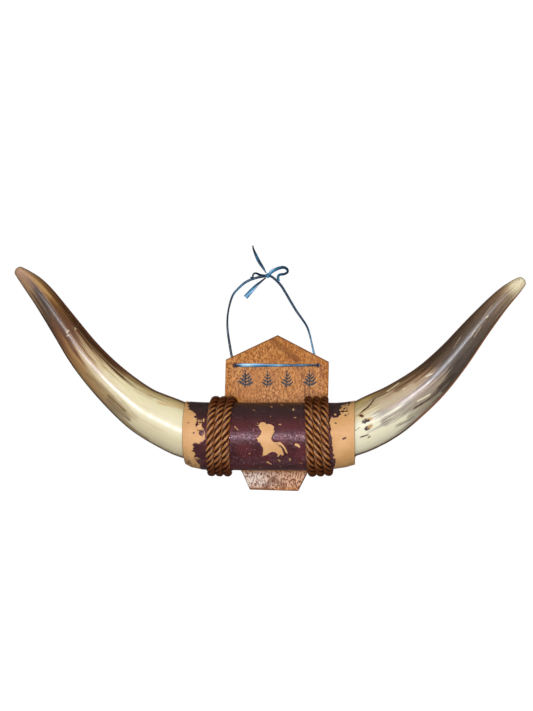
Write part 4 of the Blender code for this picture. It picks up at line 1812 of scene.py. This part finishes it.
    def build(self) -> None:
        film = self.finish.material()
        stretches = [RibbonStrip("front", (), self.front_route,
                                 light_levels=self.front_light_levels).shape()]
        for (x, z), (end_x, end_z) in zip(HOLES, GROOVE_ENDS):
            lean = (end_x - x) / (end_z - z)
            fold = tuple((x + lean * rise, 2.9, z + rise, 3.4, 20)
                         for rise in (-2.1, 0.0, 3.0, 6.0))
            # The folds inside the holes are painted dark as shade.
            stretches.append(RibbonStrip("fold", (), fold,
                                         light_levels=(-1.5, -1.5)).shape())
        settle(join(stretches, "ribbon_across_front"), Slot.RIBBON, film,
               ["front_ribbon"], 50.0)
        route = tuple(row + self.loop_fold for row in self.loop_route)
        loop = RibbonStrip("ribbon_hanging_loop", ("hanging_ribbon",), route,
                           turns=(30, 300), light_levels=self.loop_light_levels, thick=0.16,
                           across=16).build(film)
        extras = [self.knot(film)]
        for name, node, route, turns, light_levels in (
                ("bow_loop_left", "ribbon_bow_left", self.bow_left,
                 (30, 40, 52, 52, 40), (0.3, 0.2, 0.1, 0.3, 0.1)),
                ("bow_loop_right", "ribbon_bow_right", self.bow_right,
                 (15, 25, 42, 50, 46, 36, 30),
                 (0.9, 0.9, 0.5, 0.2, 0.2, 0.3, 0.6, 0.7)),
                ("cut_tail_up", "ribbon_tail_up", self.tail_up,
                 (-20, 50), (0.5, 0.35, 0.2, 0.5, 0.1, -0.4)),
                ("cut_tail_down", "ribbon_tail_down", self.tail_down,
                 (30, -10), (-0.1, 0.15, 0.5, 0.95, 0.8))):
            strip = RibbonStrip(name, (node,), route, turns, light_levels)
            extras.append(strip.build(film))


# The screws and the joiner

@dataclass
class Fastenings:
    """CAD pieces that stay as they are and take their finishes."""

    steel: SteelFinish = SteelFinish()
    wood: JoinerFinish = JoinerFinish()

    def dress(self, node: str, slot: Slot, material: Material) -> None:
        """Give one CAD piece its finish.

        Args:
            node: The CAD node.
            slot: The record's material slot that it belongs to.
            material: Its finish.
        """
        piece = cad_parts[node]
        piece.data.materials.clear()
        piece.data.materials.append(material)
        log.info("%s: CAD piece dressed, slot %s", node, slot.value)

    def build(self) -> None:
        """Dress the screws and the joiner."""
        plated = self.steel.material()
        for node in ("screw_left", "screw_right"):
            self.dress(node, Slot.STEEL, plated)
        self.dress("core_block", Slot.CORE, self.wood.material())


# Floor, lights and camera

@dataclass
class Studio:
    """Plain pale floor, soft light and a long lens from a step back."""

    lens: float = 65.0
    eye: Triple = (110.0, -1574.7, -3.7)
    yaw: float = -4.42
    pitch: float = 3.74
    roll: float = 0.18
    floor_z: float = -450.0
    room_light: float = 0.11

    def camera(self) -> None:
        """Place the camera where the photograph was taken."""
        yaw, pitch, roll = (math.radians(turn) for turn in
                            (self.yaw, self.pitch, self.roll))
        ahead = Vector((math.sin(yaw) * math.cos(pitch),
                        math.cos(yaw) * math.cos(pitch), math.sin(pitch)))
        right = ahead.cross(Vector((0, 0, 1))).normalized()
        up = right.cross(ahead)
        across = right * math.cos(roll) + up * math.sin(roll)
        above = up * math.cos(roll) - right * math.sin(roll)
        data = bpy.data.cameras.new("photo_camera")
        data.lens = self.lens
        data.sensor_width = 36.0
        data.clip_end = 60.0
        camera = bpy.data.objects.new("photo_camera", data)
        bpy.context.scene.collection.objects.link(camera)
        turn = Matrix((across, above, -ahead)).transposed().to_4x4()
        camera.matrix_world = Matrix.Translation(
            Vector(self.eye) * MM) @ turn
        bpy.context.scene.camera = camera

    def lamp(self, name: str, place: Sequence[float], aim: Sequence[float],
             size: Pair, power: float, colour: Triple = (1, 1, 1),
             glow: Glow = Glow.BOTH) -> None:
        """A soft rectangular lamp that looks at a point.

        Args:
            name: Name of the lamp.
            place: Where it stands, in metres.
            aim: Where it looks, in metres.
            size: Its width and height in metres.
            power: Its power in watts.
            colour: Colour of its light.
            glow: Whether it gives soft light, shine or both.
        """
        data = bpy.data.lights.new(name, "AREA")
        data.shape = "RECTANGLE"
        data.size, data.size_y = size
        data.energy = power
        data.color = colour
        lamp = bpy.data.objects.new(name, data)
        bpy.context.scene.collection.objects.link(lamp)
        way = Vector(aim) - Vector(place)
        lamp.rotation_euler = way.to_track_quat("-Z", "Y").to_euler()
        lamp.location = place
        lamp.visible_diffuse, lamp.visible_glossy = glow.value

    def floor(self) -> None:
        """Lay the plain pale floor."""
        bpy.ops.mesh.primitive_plane_add(size=30.0,
                                         location=(0, 0, self.floor_z * MM))
        floor = bpy.context.object
        floor.name = "studio_floor"
        pen = Palette("pale_floor")
        cloud = pen.noise(pen.place(), 0.6, 2.0)
        seen = pen.add("LightPath").outputs["Is Camera Ray"]
        floor.data.materials.append(pen.finish(
            Base_Color=pen.mix(cloud, paint(120, 120, 120),
                               paint(126, 126, 126)),
            Roughness=0.9, Emission_Color=(1, 1, 1, 1),
            Emission_Strength=seen))

    def backdrop(self) -> None:
        """White all round for the eye, dim for everything else."""
        world = bpy.data.worlds.new("white_room")
        bpy.context.scene.world = world
        world.use_nodes = True
        tree = world.node_tree
        tree.nodes.clear()
        output = tree.nodes.new("ShaderNodeOutputWorld")
        blend = tree.nodes.new("ShaderNodeMixShader")
        eye = tree.nodes.new("ShaderNodeLightPath")
        tree.links.new(eye.outputs["Is Camera Ray"], blend.inputs[0])
        for number, strength in ((1, self.room_light), (2, 1.0)):
            white = tree.nodes.new("ShaderNodeBackground")
            white.inputs["Color"].default_value = (1, 1, 1, 1)
            white.inputs["Strength"].default_value = strength
            tree.links.new(white.outputs[0], blend.inputs[number])
        tree.links.new(blend.outputs[0], output.inputs["Surface"])

    def build(self) -> None:
        """Set up the floor, the lights and the camera."""
        bpy.context.scene.view_settings.view_transform = "Standard"
        self.camera()
        self.floor()
        self.backdrop()
        self.lamp("front_softbox", (0.11, -1.66, 0.02), (0, -0.05, 0.05),
                  (0.45, 0.45), 21.5, (1.0, 0.985, 0.965), Glow.SOFT)
        self.lamp("window", (-0.12, -1.65, -0.04), (0, -0.05, 0.05),
                  (0.50, 0.16), 29.0, (0.90, 0.91, 1.0), Glow.SHINE)
        self.lamp("upper_softbox", (-0.2, -1.2, 1.3), (0, -0.05, 0.0),
                  (1.4, 0.9), 2.0)
        self.lamp("rear_softbox", (0.3, 1.8, 0.6), (0, 0, 0.05),
                  (1.4, 1.4), 22.0, glow=Glow.SOFT)
        for name, side in (("left_softbox", -1), ("right_softbox", 1)):
            self.lamp(name, (side * 1.8, 0.8, 0.3), (0, -0.05, 0.05),
                      (1.0, 1.0), 6.0, glow=Glow.SOFT)


# This object's own tables

# Along each horn: x, how far it sweeps forward, z, radius.
LEFT_STATIONS: Table = (
    (-58, 0, 0.5, 32.6), (-80, 0, 1.4, 32.5), (-102.2, 0.2, 5.6, 32),
    (-123.6, 1.2, 15.2, 31), (-143, 3.4, 24.3, 29.2),
    (-161.2, 6.1, 35.6, 26.9), (-192.8, 12.5, 63.6, 23.2),
    (-220.8, 19.5, 95, 20.1), (-244.7, 26.6, 129.4, 16.8),
    (-268.5, 33.5, 163.7, 13.8), (-282, 36.8, 179.5, 11.6),
    (-297, 39.6, 193.2, 6.4))
RIGHT_STATIONS: Table = (
    (53, 0, 0.5, 31.4), (75, 0, 2.2, 30.6), (97.4, 0.3, 7.5, 29.4),
    (113.1, 1.3, 15.6, 30.6), (131.9, 3.6, 25.3, 29.7),
    (149.9, 6.4, 36.4, 27.3), (182.8, 13, 61.8, 22.9),
    (211.3, 20.1, 91.8, 18.9), (236.7, 27.4, 123.7, 15.3),
    (263, 34.5, 154.5, 11.7), (277.5, 37.9, 168.4, 9.6),
    (287.6, 39.8, 177, 6.4))

CREAM = paint(236, 220, 178)
PIT_BROWN = paint(52, 22, 8)
CRACK_BROWN = paint(84, 54, 28)

# Each horn's lanes of colour: length mm, red, green, blue. The outer lanes hold
# painted shade along the outline as well as the horn's own colour.
LEFT_LANES: tuple[Table, ...] = (
    ((0, 190, 160, 100), (80, 168, 130, 80), (110, 104, 72, 40),
     (150, 94, 62, 34), (185, 122, 80, 42), (210, 104, 62, 30),
     (250, 84, 58, 32), (280, 130, 100, 66), (300, 190, 148, 104),
     (321, 196, 156, 124)),
    ((0, 236, 226, 190), (90, 230, 218, 180), (112, 190, 170, 134),
     (135, 172, 150, 114), (165, 190, 158, 112), (195, 182, 140, 92),
     (215, 150, 104, 70), (240, 122, 86, 66), (265, 100, 80, 66),
     (285, 116, 98, 80), (300, 182, 144, 108), (321, 190, 152, 124)),
    ((0, 244, 238, 206), (130, 240, 230, 196), (172, 222, 202, 166),
     (198, 176, 142, 108), (220, 128, 92, 72), (250, 108, 80, 66),
     (272, 92, 80, 74), (290, 112, 94, 88), (304, 156, 124, 106),
     (321, 194, 154, 128)),
    ((0, 244, 236, 200), (130, 242, 232, 190), (158, 228, 210, 168),
     (182, 190, 162, 122), (205, 132, 98, 72), (225, 110, 74, 54),
     (250, 110, 74, 44), (275, 140, 98, 54), (298, 192, 150, 98),
     (321, 206, 166, 134)),
    ((0, 214, 192, 130), (118, 208, 184, 128), (140, 150, 116, 74),
     (165, 92, 58, 28), (215, 70, 40, 14), (250, 76, 46, 18),
     (285, 110, 74, 38), (305, 150, 112, 70), (321, 190, 150, 118)))
LEFT_MARKS = (
    HornMark((319, 42), (319.6, 42), 0.5, 0.6, PIT_BROWN),
    HornMark((230.6, 0), (231.8, 13), 0.2, 0.8, CREAM),
    HornMark((229.4, -2), (229, 16), 0.1, 0.5, CRACK_BROWN),
    HornMark((228.6, 33), (229.8, 40), 0.2, 0.8, CREAM),
    HornMark((227.6, -6), (227, 1), 0.2, 0.7, CREAM),
    HornMark((232.8, 2), (232, 14), 0.1, 0.5, CRACK_BROWN),
    HornMark((228, 20), (229.6, 33), 0.1, 0.5, CRACK_BROWN),
    smear((144, -26), (118, -25), 0.7, 1.8, paint(116, 86, 54)),
    smear((141, -38), (110, -37), 1.6, 3.2, paint(148, 126, 98)),
    smear((178, -30), (157, -26), 1.4, 3, paint(150, 120, 84)),
    smear((128, -12), (104, -18), 0.6, 2.4, paint(196, 180, 144)),
    smear((112, -58), (84, -62), 1.2, 3.6, paint(176, 148, 104)),
    smear((120, 46), (100, 44), 0.6, 2.4, paint(206, 178, 128)),
    smear((88, 40), (62, 52), 1.2, 4, paint(226, 190, 134)),
    smear((292, -6), (262, -16), 1.6, 3, paint(78, 70, 70)),
    smear((306, 30), (276, 34), 1, 2.4, paint(196, 156, 98)))
LEFT_FINISH = HornFinish(
    name="pale_horn", length=323.1, lanes=LEFT_LANES, marks=LEFT_MARKS,
    streak=paint(122, 84, 58), gloss=0.26, shine=0.2)

RIGHT_LANES: tuple[Table, ...] = (
    ((0, 200, 190, 150), (75, 190, 176, 130), (95, 150, 130, 96),
     (112, 110, 88, 66), (150, 78, 62, 50), (220, 84, 64, 50),
     (270, 100, 78, 58), (297, 200, 180, 140)),
    ((0, 240, 234, 202), (86, 236, 230, 202), (102, 210, 206, 186),
     (118, 176, 164, 144), (140, 162, 146, 126), (152, 128, 112, 96),
     (168, 84, 74, 66), (210, 92, 80, 72), (260, 112, 94, 80),
     (285, 150, 128, 104), (297, 232, 218, 182)),
    ((0, 236, 232, 204), (78, 228, 224, 198), (92, 184, 176, 160),
     (108, 162, 153, 140), (124, 178, 164, 148), (140, 180, 158, 140),
     (152, 146, 128, 116), (168, 94, 84, 78), (205, 92, 82, 76),
     (250, 104, 90, 80), (284, 140, 118, 98), (295, 226, 212, 176),
     (305, 240, 232, 198)),
    ((0, 220, 202, 156), (60, 214, 196, 152), (82, 186, 168, 134),
     (104, 192, 172, 138), (124, 184, 154, 122), (140, 150, 116, 86),
     (156, 98, 76, 58), (200, 88, 72, 60), (250, 100, 80, 64),
     (280, 124, 98, 74), (291, 176, 150, 118), (299, 236, 224, 188)),
    ((0, 200, 176, 110), (70, 190, 164, 100), (92, 138, 108, 66),
     (120, 130, 100, 66), (150, 90, 66, 42), (180, 68, 50, 36),
     (250, 84, 62, 46), (285, 130, 102, 74), (300, 226, 208, 164)))
RIGHT_MARKS = (
    HornMark((86.7, 49), (84.1, 46), 0.30, 0.7, CRACK_BROWN),
    HornMark((84.1, 46), (78.7, 38), 0.55, 0.8, CRACK_BROWN),
    HornMark((78.7, 38), (73.3, 33), 0.60, 0.8, CRACK_BROWN),
    HornMark((73.3, 33), (67.9, 31), 0.55, 0.8, CRACK_BROWN),
    HornMark((67.9, 31), (59.4, 26), 0.45, 0.9, CRACK_BROWN),
    HornMark((61, 24), (63.4, 19.6), 1.4, 1.6, paint(214, 190, 140)),
    HornMark((61.5, 22.5), (62.6, 20.6), 1.3, 0.9, paint(96, 46, 30)),
    HornMark((62, 8.4), (71, 5.6), 1.2, 1.8, paint(208, 172, 118)),
    HornMark((60, -9), (67, -8.4), 1.4, 1.6, paint(214, 190, 142)),
    HornMark((60.4, 7.4), (67.4, 4.6), 1, 0.8, PIT_BROWN),
    HornMark((61.6, 3.8), (64.6, 9.4), 0.8, 0.7, PIT_BROWN),
    HornMark((59.2, -9.4), (62.6, -9.8), 1.5, 0.8, paint(44, 18, 8)),
    HornMark((61, -6.6), (61.8, -8.6), 0.7, 0.7, paint(52, 26, 18)),
    HornMark((63.2, -9), (68, -7.4), 0.6, 0.9, paint(186, 148, 100)),
    HornMark((46, -2), (53, 1), 0.25, 0.7, paint(170, 140, 100)),
    HornMark((48.7, -20), (57.2, -22.5), 0.35, 0.7, CRACK_BROWN),
    HornMark((56, -29), (58.4, -28.4), 0.6, 0.8, paint(126, 112, 66)),
    smear((84, -14), (148, -20), 2.6, 5, paint(158, 144, 130)),
    smear((92, 24), (132, 22), 3, 6, paint(204, 186, 158)),
    smear((92, -38), (112, -50), 0.8, 2.2, paint(120, 108, 92)),
    smear((110, -40), (150, -52), 1.6, 3.6, paint(176, 166, 142)),
    smear((116, 40), (150, 40), 1.6, 4, paint(118, 88, 60)),
    HornMark((105.5, 52), (121, 57.5), 0.7, 0.8, CREAM),
    HornMark((153.5, 20.8), (160.5, 15), 0.8, 0.9, paint(226, 214, 192)),
    HornMark((122.5, 31), (125, 30), 0.5, 0.8, CREAM),
    HornMark((128.1, -19), (142.2, -27), 0.8, 0.9, paint(226, 218, 190)),
    HornMark((119.8, -29), (139.4, -37), 0.6, 1, paint(78, 62, 52)),
    HornMark((250, -1), (251.4, -5), 0.5, 0.6, CREAM),
    smear((221, -3), (238, 5), 0.35, 0.8, paint(206, 186, 160)),
    smear((224, -15), (238, -9), 0.3, 0.8, paint(196, 176, 150)),
    smear((246, 10), (264, 17), 0.3, 0.9, paint(190, 168, 142)),
    smear((200, 22), (214, 29), 0.3, 0.9, paint(176, 158, 138)),
    smear((156, -31), (176, -44), 1.4, 2.8, paint(74, 58, 48)),
    HornMark((305, 24), (305.6, 26), 0.5, 0.6, PIT_BROWN))
RIGHT_FINISH = HornFinish(
    name="dark_horn", length=305.9, lanes=RIGHT_LANES, marks=RIGHT_MARKS,
    streak=paint(116, 98, 84), rim=(98, 125), matt_base=0.26, lift=1.04)

# Outlines on the sleeve: x and degrees up from the front.
TAN_PATCH: Table = (
    (-15.9, 17.8), (-12.9, 19.1), (-12, 22.3), (-9.4, 24.4), (-5.9, 23.6),
    (-4.3, 20.4), (-1.7, 21.3), (1.3, 20), (4.9, 16), (4.1, 10.8), (5.6, 8.7),
    (3.3, 2.8), (1.6, -3.1), (2.4, -6.4), (4.4, -9.4), (7.7, -9.8),
    (12.1, -9.1), (14.4, -12.4), (17.3, -17.6), (19.3, -23.4), (20.5, -30),
    (18.6, -28.5), (16.9, -22.5), (14.4, -17.1), (11.5, -13), (10.3, -13.4),
    (13.7, -20.2), (15.9, -30.9), (14.1, -33.9), (11.8, -30.4), (10.8, -33.4),
    (8.7, -36), (7.9, -34.4), (9.1, -31.9), (6, -26.6), (2.4, -26.1),
    (0, -27.5), (-3, -30.9), (-5.4, -33.4), (-7.2, -32.9), (-9.1, -35.4),
    (-7.9, -24.7), (-7.8, -19.3), (-9.8, -14.9), (-11.5, -9.8), (-13.8, -8.5),
    (-14.1, -5.1), (-15.9, -2.2), (-13.2, -1.3), (-12.3, 0.7), (-10.3, 3.7),
    (-9.4, 8.7), (-11.2, 11.3), (-12.5, 14.7), (-13, 17.8))


def fleck(x: float, degrees: float, long: float, wide: float,
          lean: float = 0.0) -> Table:
    """Outline of a small ragged fleck.

    Args:
        x: Its middle along the sleeve, in mm.
        degrees: Its middle round the sleeve.
        long: Half its length, in mm.
        wide: Half its width, in mm.
        lean: Direction of its length, in degrees.

    Returns:
        The fleck's outline.
    """
    long, wide = long + 0.25, wide + 0.25
    shape = ((1, 0), (0.55, 0.8), (-0.1, 0.62), (-0.6, 1), (-1, 0.1),
             (-0.5, -0.75), (0.2, -0.6), (0.6, -1))
    c, s = math.cos(math.radians(lean)), math.sin(math.radians(lean))
    points = []
    for a, b in shape:
        across, up = a * long * c - b * wide * s, a * long * s + b * wide * c
        points.append((x + across, degrees + math.degrees(up / SLEEVE_RADIUS)))
    return tuple(points)


def wild_edge(ends: tuple[Pair, Pair], seed: float,
              steps: int = 26) -> list[Pair]:
    """A ragged border round the sleeve's back.

    Args:
        ends: The two points that it runs between, without them.
        seed: Makes one border differ from the next.
        steps: How many stretches it has.

    Returns:
        The border's points.
    """
    (x0, a0), (x1, a1) = ends
    points = []
    for k in range(1, steps):
        t = k / steps
        sway = 4.5 * math.sin(9 * t + seed) + 2.4 * math.sin(27 * t + 2 * seed)
        sway += 1.6 * math.sin(61 * t + 3 * seed)
        points.append((x0 + (x1 - x0) * t + sway * math.sin(math.pi * t),
                       a0 + (a1 - a0) * t))
    return points


# Where the skin ends near the sleeve's ends, down the front and all round.
LEFT_EDGE_FRONT: Table = (
    (-99.8, 68), (-96.8, 61), (-98.7, 55.7), (-96.3, 53.6), (-96.7, 47.4),
    (-93.9, 47.3), (-90.6, 43.5), (-88, 40.5), (-87.4, 36.1), (-89.6, 32.9),
    (-88.5, 31.2), (-85.4, 30.6), (-85.6, 26.2), (-83.1, 23.1), (-79.9, 19.5),
    (-78.4, 15), (-78, 10.6), (-75.9, 8.6), (-75.1, 3), (-75.2, -5.7),
    (-77.8, -8.9), (-80.5, -10.5), (-82.3, -13.6), (-83.9, -13.4),
    (-86.3, -12.2), (-88.7, -13.6), (-89.8, -17.3), (-88.5, -20.1),
    (-90.1, -23.3), (-89.4, -26.4), (-92.4, -29), (-88.3, -29.7),
    (-86.9, -33.6), (-89.3, -40.8), (-86.4, -43.6), (-83.8, -53.1),
    (-84.1, -70.6))
RIGHT_EDGE_FRONT: Table = (
    (94, 67.5), (87.2, 66.3), (81.8, 65.2), (80.9, 63.8), (82.6, 58.4),
    (82.4, 52.2), (80.4, 50.4), (80.6, 46.9), (80.4, 43.5), (81.6, 40.9),
    (81.4, 36.9), (79.1, 35), (76.7, 31.4), (74.7, 32.5), (70.4, 32.5),
    (68.5, 23.8), (70.1, 11.9), (70.1, 2.9), (71.9, -5.1), (71.6, -17.2),
    (73.4, -25), (71.8, -30), (74.2, -35.7), (72.3, -40.6), (76, -43.4),
    (74.5, -59.9), (72.5, -72.3))
LEFT_EDGE: Table = tuple(
    wild_edge(((-92, 181), (-99.8, 68)), 0.7) + list(LEFT_EDGE_FRONT)
    + wild_edge(((-84.1, -70.6), (-92, -181)), 1.9))
RIGHT_EDGE: Table = tuple(
    wild_edge(((84, 181), (94, 67.5)), 2.6) + list(RIGHT_EDGE_FRONT)
    + wild_edge(((72.5, -72.3), (84, -181)), 4.1))

# Bare places in the skin, and flakes of skin left on the bare ends.
BARE_FLECKS: tuple[Table, ...] = (
    TAN_PATCH,
    fleck(0.4, 59.5, 2, 0.8, -50), fleck(11.9, 66.8, 2.4, 0.8, -40),
    fleck(-19.9, 50.5, 2.4, 0.4, -34),
    ((24.7, 50.4), (26.1, 54.7), (27.7, 51.7), (26.3, 47.7)),
    fleck(28.6, 32.8, 1.3, 0.4, 10),
    ((9.3, 19.9), (11.3, 21.5), (13.4, 20.8), (12.2, 18.8)),
    ((27.9, -14.1), (29.7, -11.6), (32, -12), (34.1, -14.1), (34.9, -17.6),
     (34, -19.4), (32.3, -17.2), (30.2, -16.3)),
    fleck(-23.7, -29.9, 0.7, 0.6),
    ((-5.3, -48), (-2.6, -45.5), (-1.2, -50), (1.6, -53.5), (0.3, -54.9),
     (-2.5, -50.6)),
    ((8.6, -40.8), (10.6, -42.6), (12, -45.5), (11, -46.8), (9.1, -43.7)),
    ((21.3, -39.2), (23.1, -39.2), (23.8, -44.3), (22.3, -44.9)),
    fleck(35.2, -51.4, 0.8, 0.7), fleck(-12.4, -65.5, 0.9, 0.7),
    fleck(11, -60.7, 1.4, 0.5, -20), fleck(0, 35.3, 0.5, 0.5),
    fleck(-14.4, 22.7, 0.5, 0.5), fleck(-38.9, 13, 4, 0.4, -45),
    ((-83, 29.1), (-81.8, 25.8), (-82.7, 21.7), (-83.9, 25.1)),
    ((-80.2, 29.7), (-79.8, 25.2), (-80.4, 20.2), (-80.9, 24.8)),
    ((-77.3, 30.4), (-76.6, 27.2), (-77.3, 23.5), (-77.9, 27.1)),
    ((-87.7, -39.6), (-85, -40.2), (-82.9, -42), (-83.6, -43.6),
     (-85.6, -42.4), (-87.6, -41.6)),
    ((73.6, 39.5), (74.9, 42), (76.3, 39), (75, 36.9)),
    fleck(-30, 120, 9, 4, 30), fleck(25, 150, 6, 3, -20),
    fleck(10, -110, 8, 3.4, 60), fleck(-45, -140, 5, 2.4, 10),
    fleck(48, 95, 3, 1.2, 50), fleck(-52, 88, 2.4, 1, -30),
    fleck(-20, 165, 3, 1.6, 80), fleck(40, -160, 4, 1.4, 20),
)
SKIN_FLECKS: tuple[Table, ...] = (
    ((7.1, -11.3), (8.5, -11.5), (12.3, -18.9), (10.8, -18)),
    ((-84.9, 26.6), (-85.8, 21), (-86.7, 16.2), (-85.4, 13.4), (-83.7, 17),
     (-81.8, 18.3), (-82.9, 23.2)),
    ((-84.4, 11.8), (-82.7, 11.3), (-81.7, 7.8), (-80.4, 9.9),
     (-78.3, 10.9), (-76.5, 8.3), (-76.5, 3.8), (-77.7, 1.3), (-78.8, -2),
     (-80.1, 0.9), (-81.9, 3.1), (-81.7, 5.8), (-83.4, 6.9)),
    ((-97.8, -54.3), (-96.1, -50.4), (-93.3, -51.4), (-96.3, -55.8)),
    ((-89, -42.6), (-86.6, -45.6), (-84, -50), (-82.8, -57.6),
     (-84.6, -57), (-86.8, -50)),
    fleck(-88.3, 3.8, 0.9, 0.7), fleck(85.7, -6.1, 1.8, 1.2, 20),
    ((84, 62.8), (85.2, 66.2), (86.4, 61.7), (85.4, 57.7)),
    ((84.1, 53), (85.7, 55.3), (88.3, 54.2), (87.3, 50.4), (85.7, 48.1)),
    ((80.9, 46.9), (83.4, 47.6), (85.3, 43.7), (84.4, 42), (82.3, 43.8)),
    ((86.6, 43.7), (87.7, 46), (88.7, 44.5), (87.7, 41.6)),
    ((85.7, 35.1), (86.7, 38.3), (88.1, 37.3), (87.2, 34.3)),
    ((88, 38.5), (89.6, 39.4), (91.3, 35.5), (90.4, 33), (89.5, 35.9)),
    ((89.6, 60.5), (90.5, 64.6), (92.3, 62.3), (91.7, 58.3), (90.3, 57.2)),
    fleck(75.7, 21.9, 0.7, 0.6), fleck(-95, 20, 0.8, 0.6),
    fleck(88, 110, 2, 1.2, 30), fleck(-97, 120, 1.8, 1),
    fleck(84, -120, 2.4, 1.3, 50), fleck(-95, -130, 2.2, 1.1, 70),
)


def main() -> None:
    """Build every sub-assembly in order."""
    logging.basicConfig(level=logging.INFO, format="%(name)s: %(message)s")
    Studio().build()
    Ribbon().build()
    Horn("pale_horn_left", "horn_left", Slot.HORN_PALE, Side.LEFT,
         LEFT_STATIONS, LEFT_FINISH,
         pits=((319.2, 42, 0.8, 0.8, 0.5), (231.2, 8, 0.7, 2.2, 0.3))).build()
    Horn("dark_horn_right", "horn_right", Slot.HORN_DARK, Side.RIGHT,
         RIGHT_STATIONS, RIGHT_FINISH,
         pits=((61.9, 22, 1.1, 1.1, 0.5), (63.8, 6, 2.4, 0.9, 0.6),
               (61.0, -9, 1.6, 1.3, 0.8), (305.3, 25, 0.7, 0.7, 0.3))).build()
    Sleeve(PeelMap(BARE_FLECKS, SKIN_FLECKS, LEFT_EDGE, RIGHT_EDGE)).build()
    fibre = RopeFinish().material()
    Lashing("laid_rope_left", "rope_left", -59.9, 1, fibre).build()
    Lashing("laid_rope_right", "rope_right", 54.6, -1, fibre).build()
    Plaque().build()
    Fastenings().build()


if __name__ == "__main__":
    main()
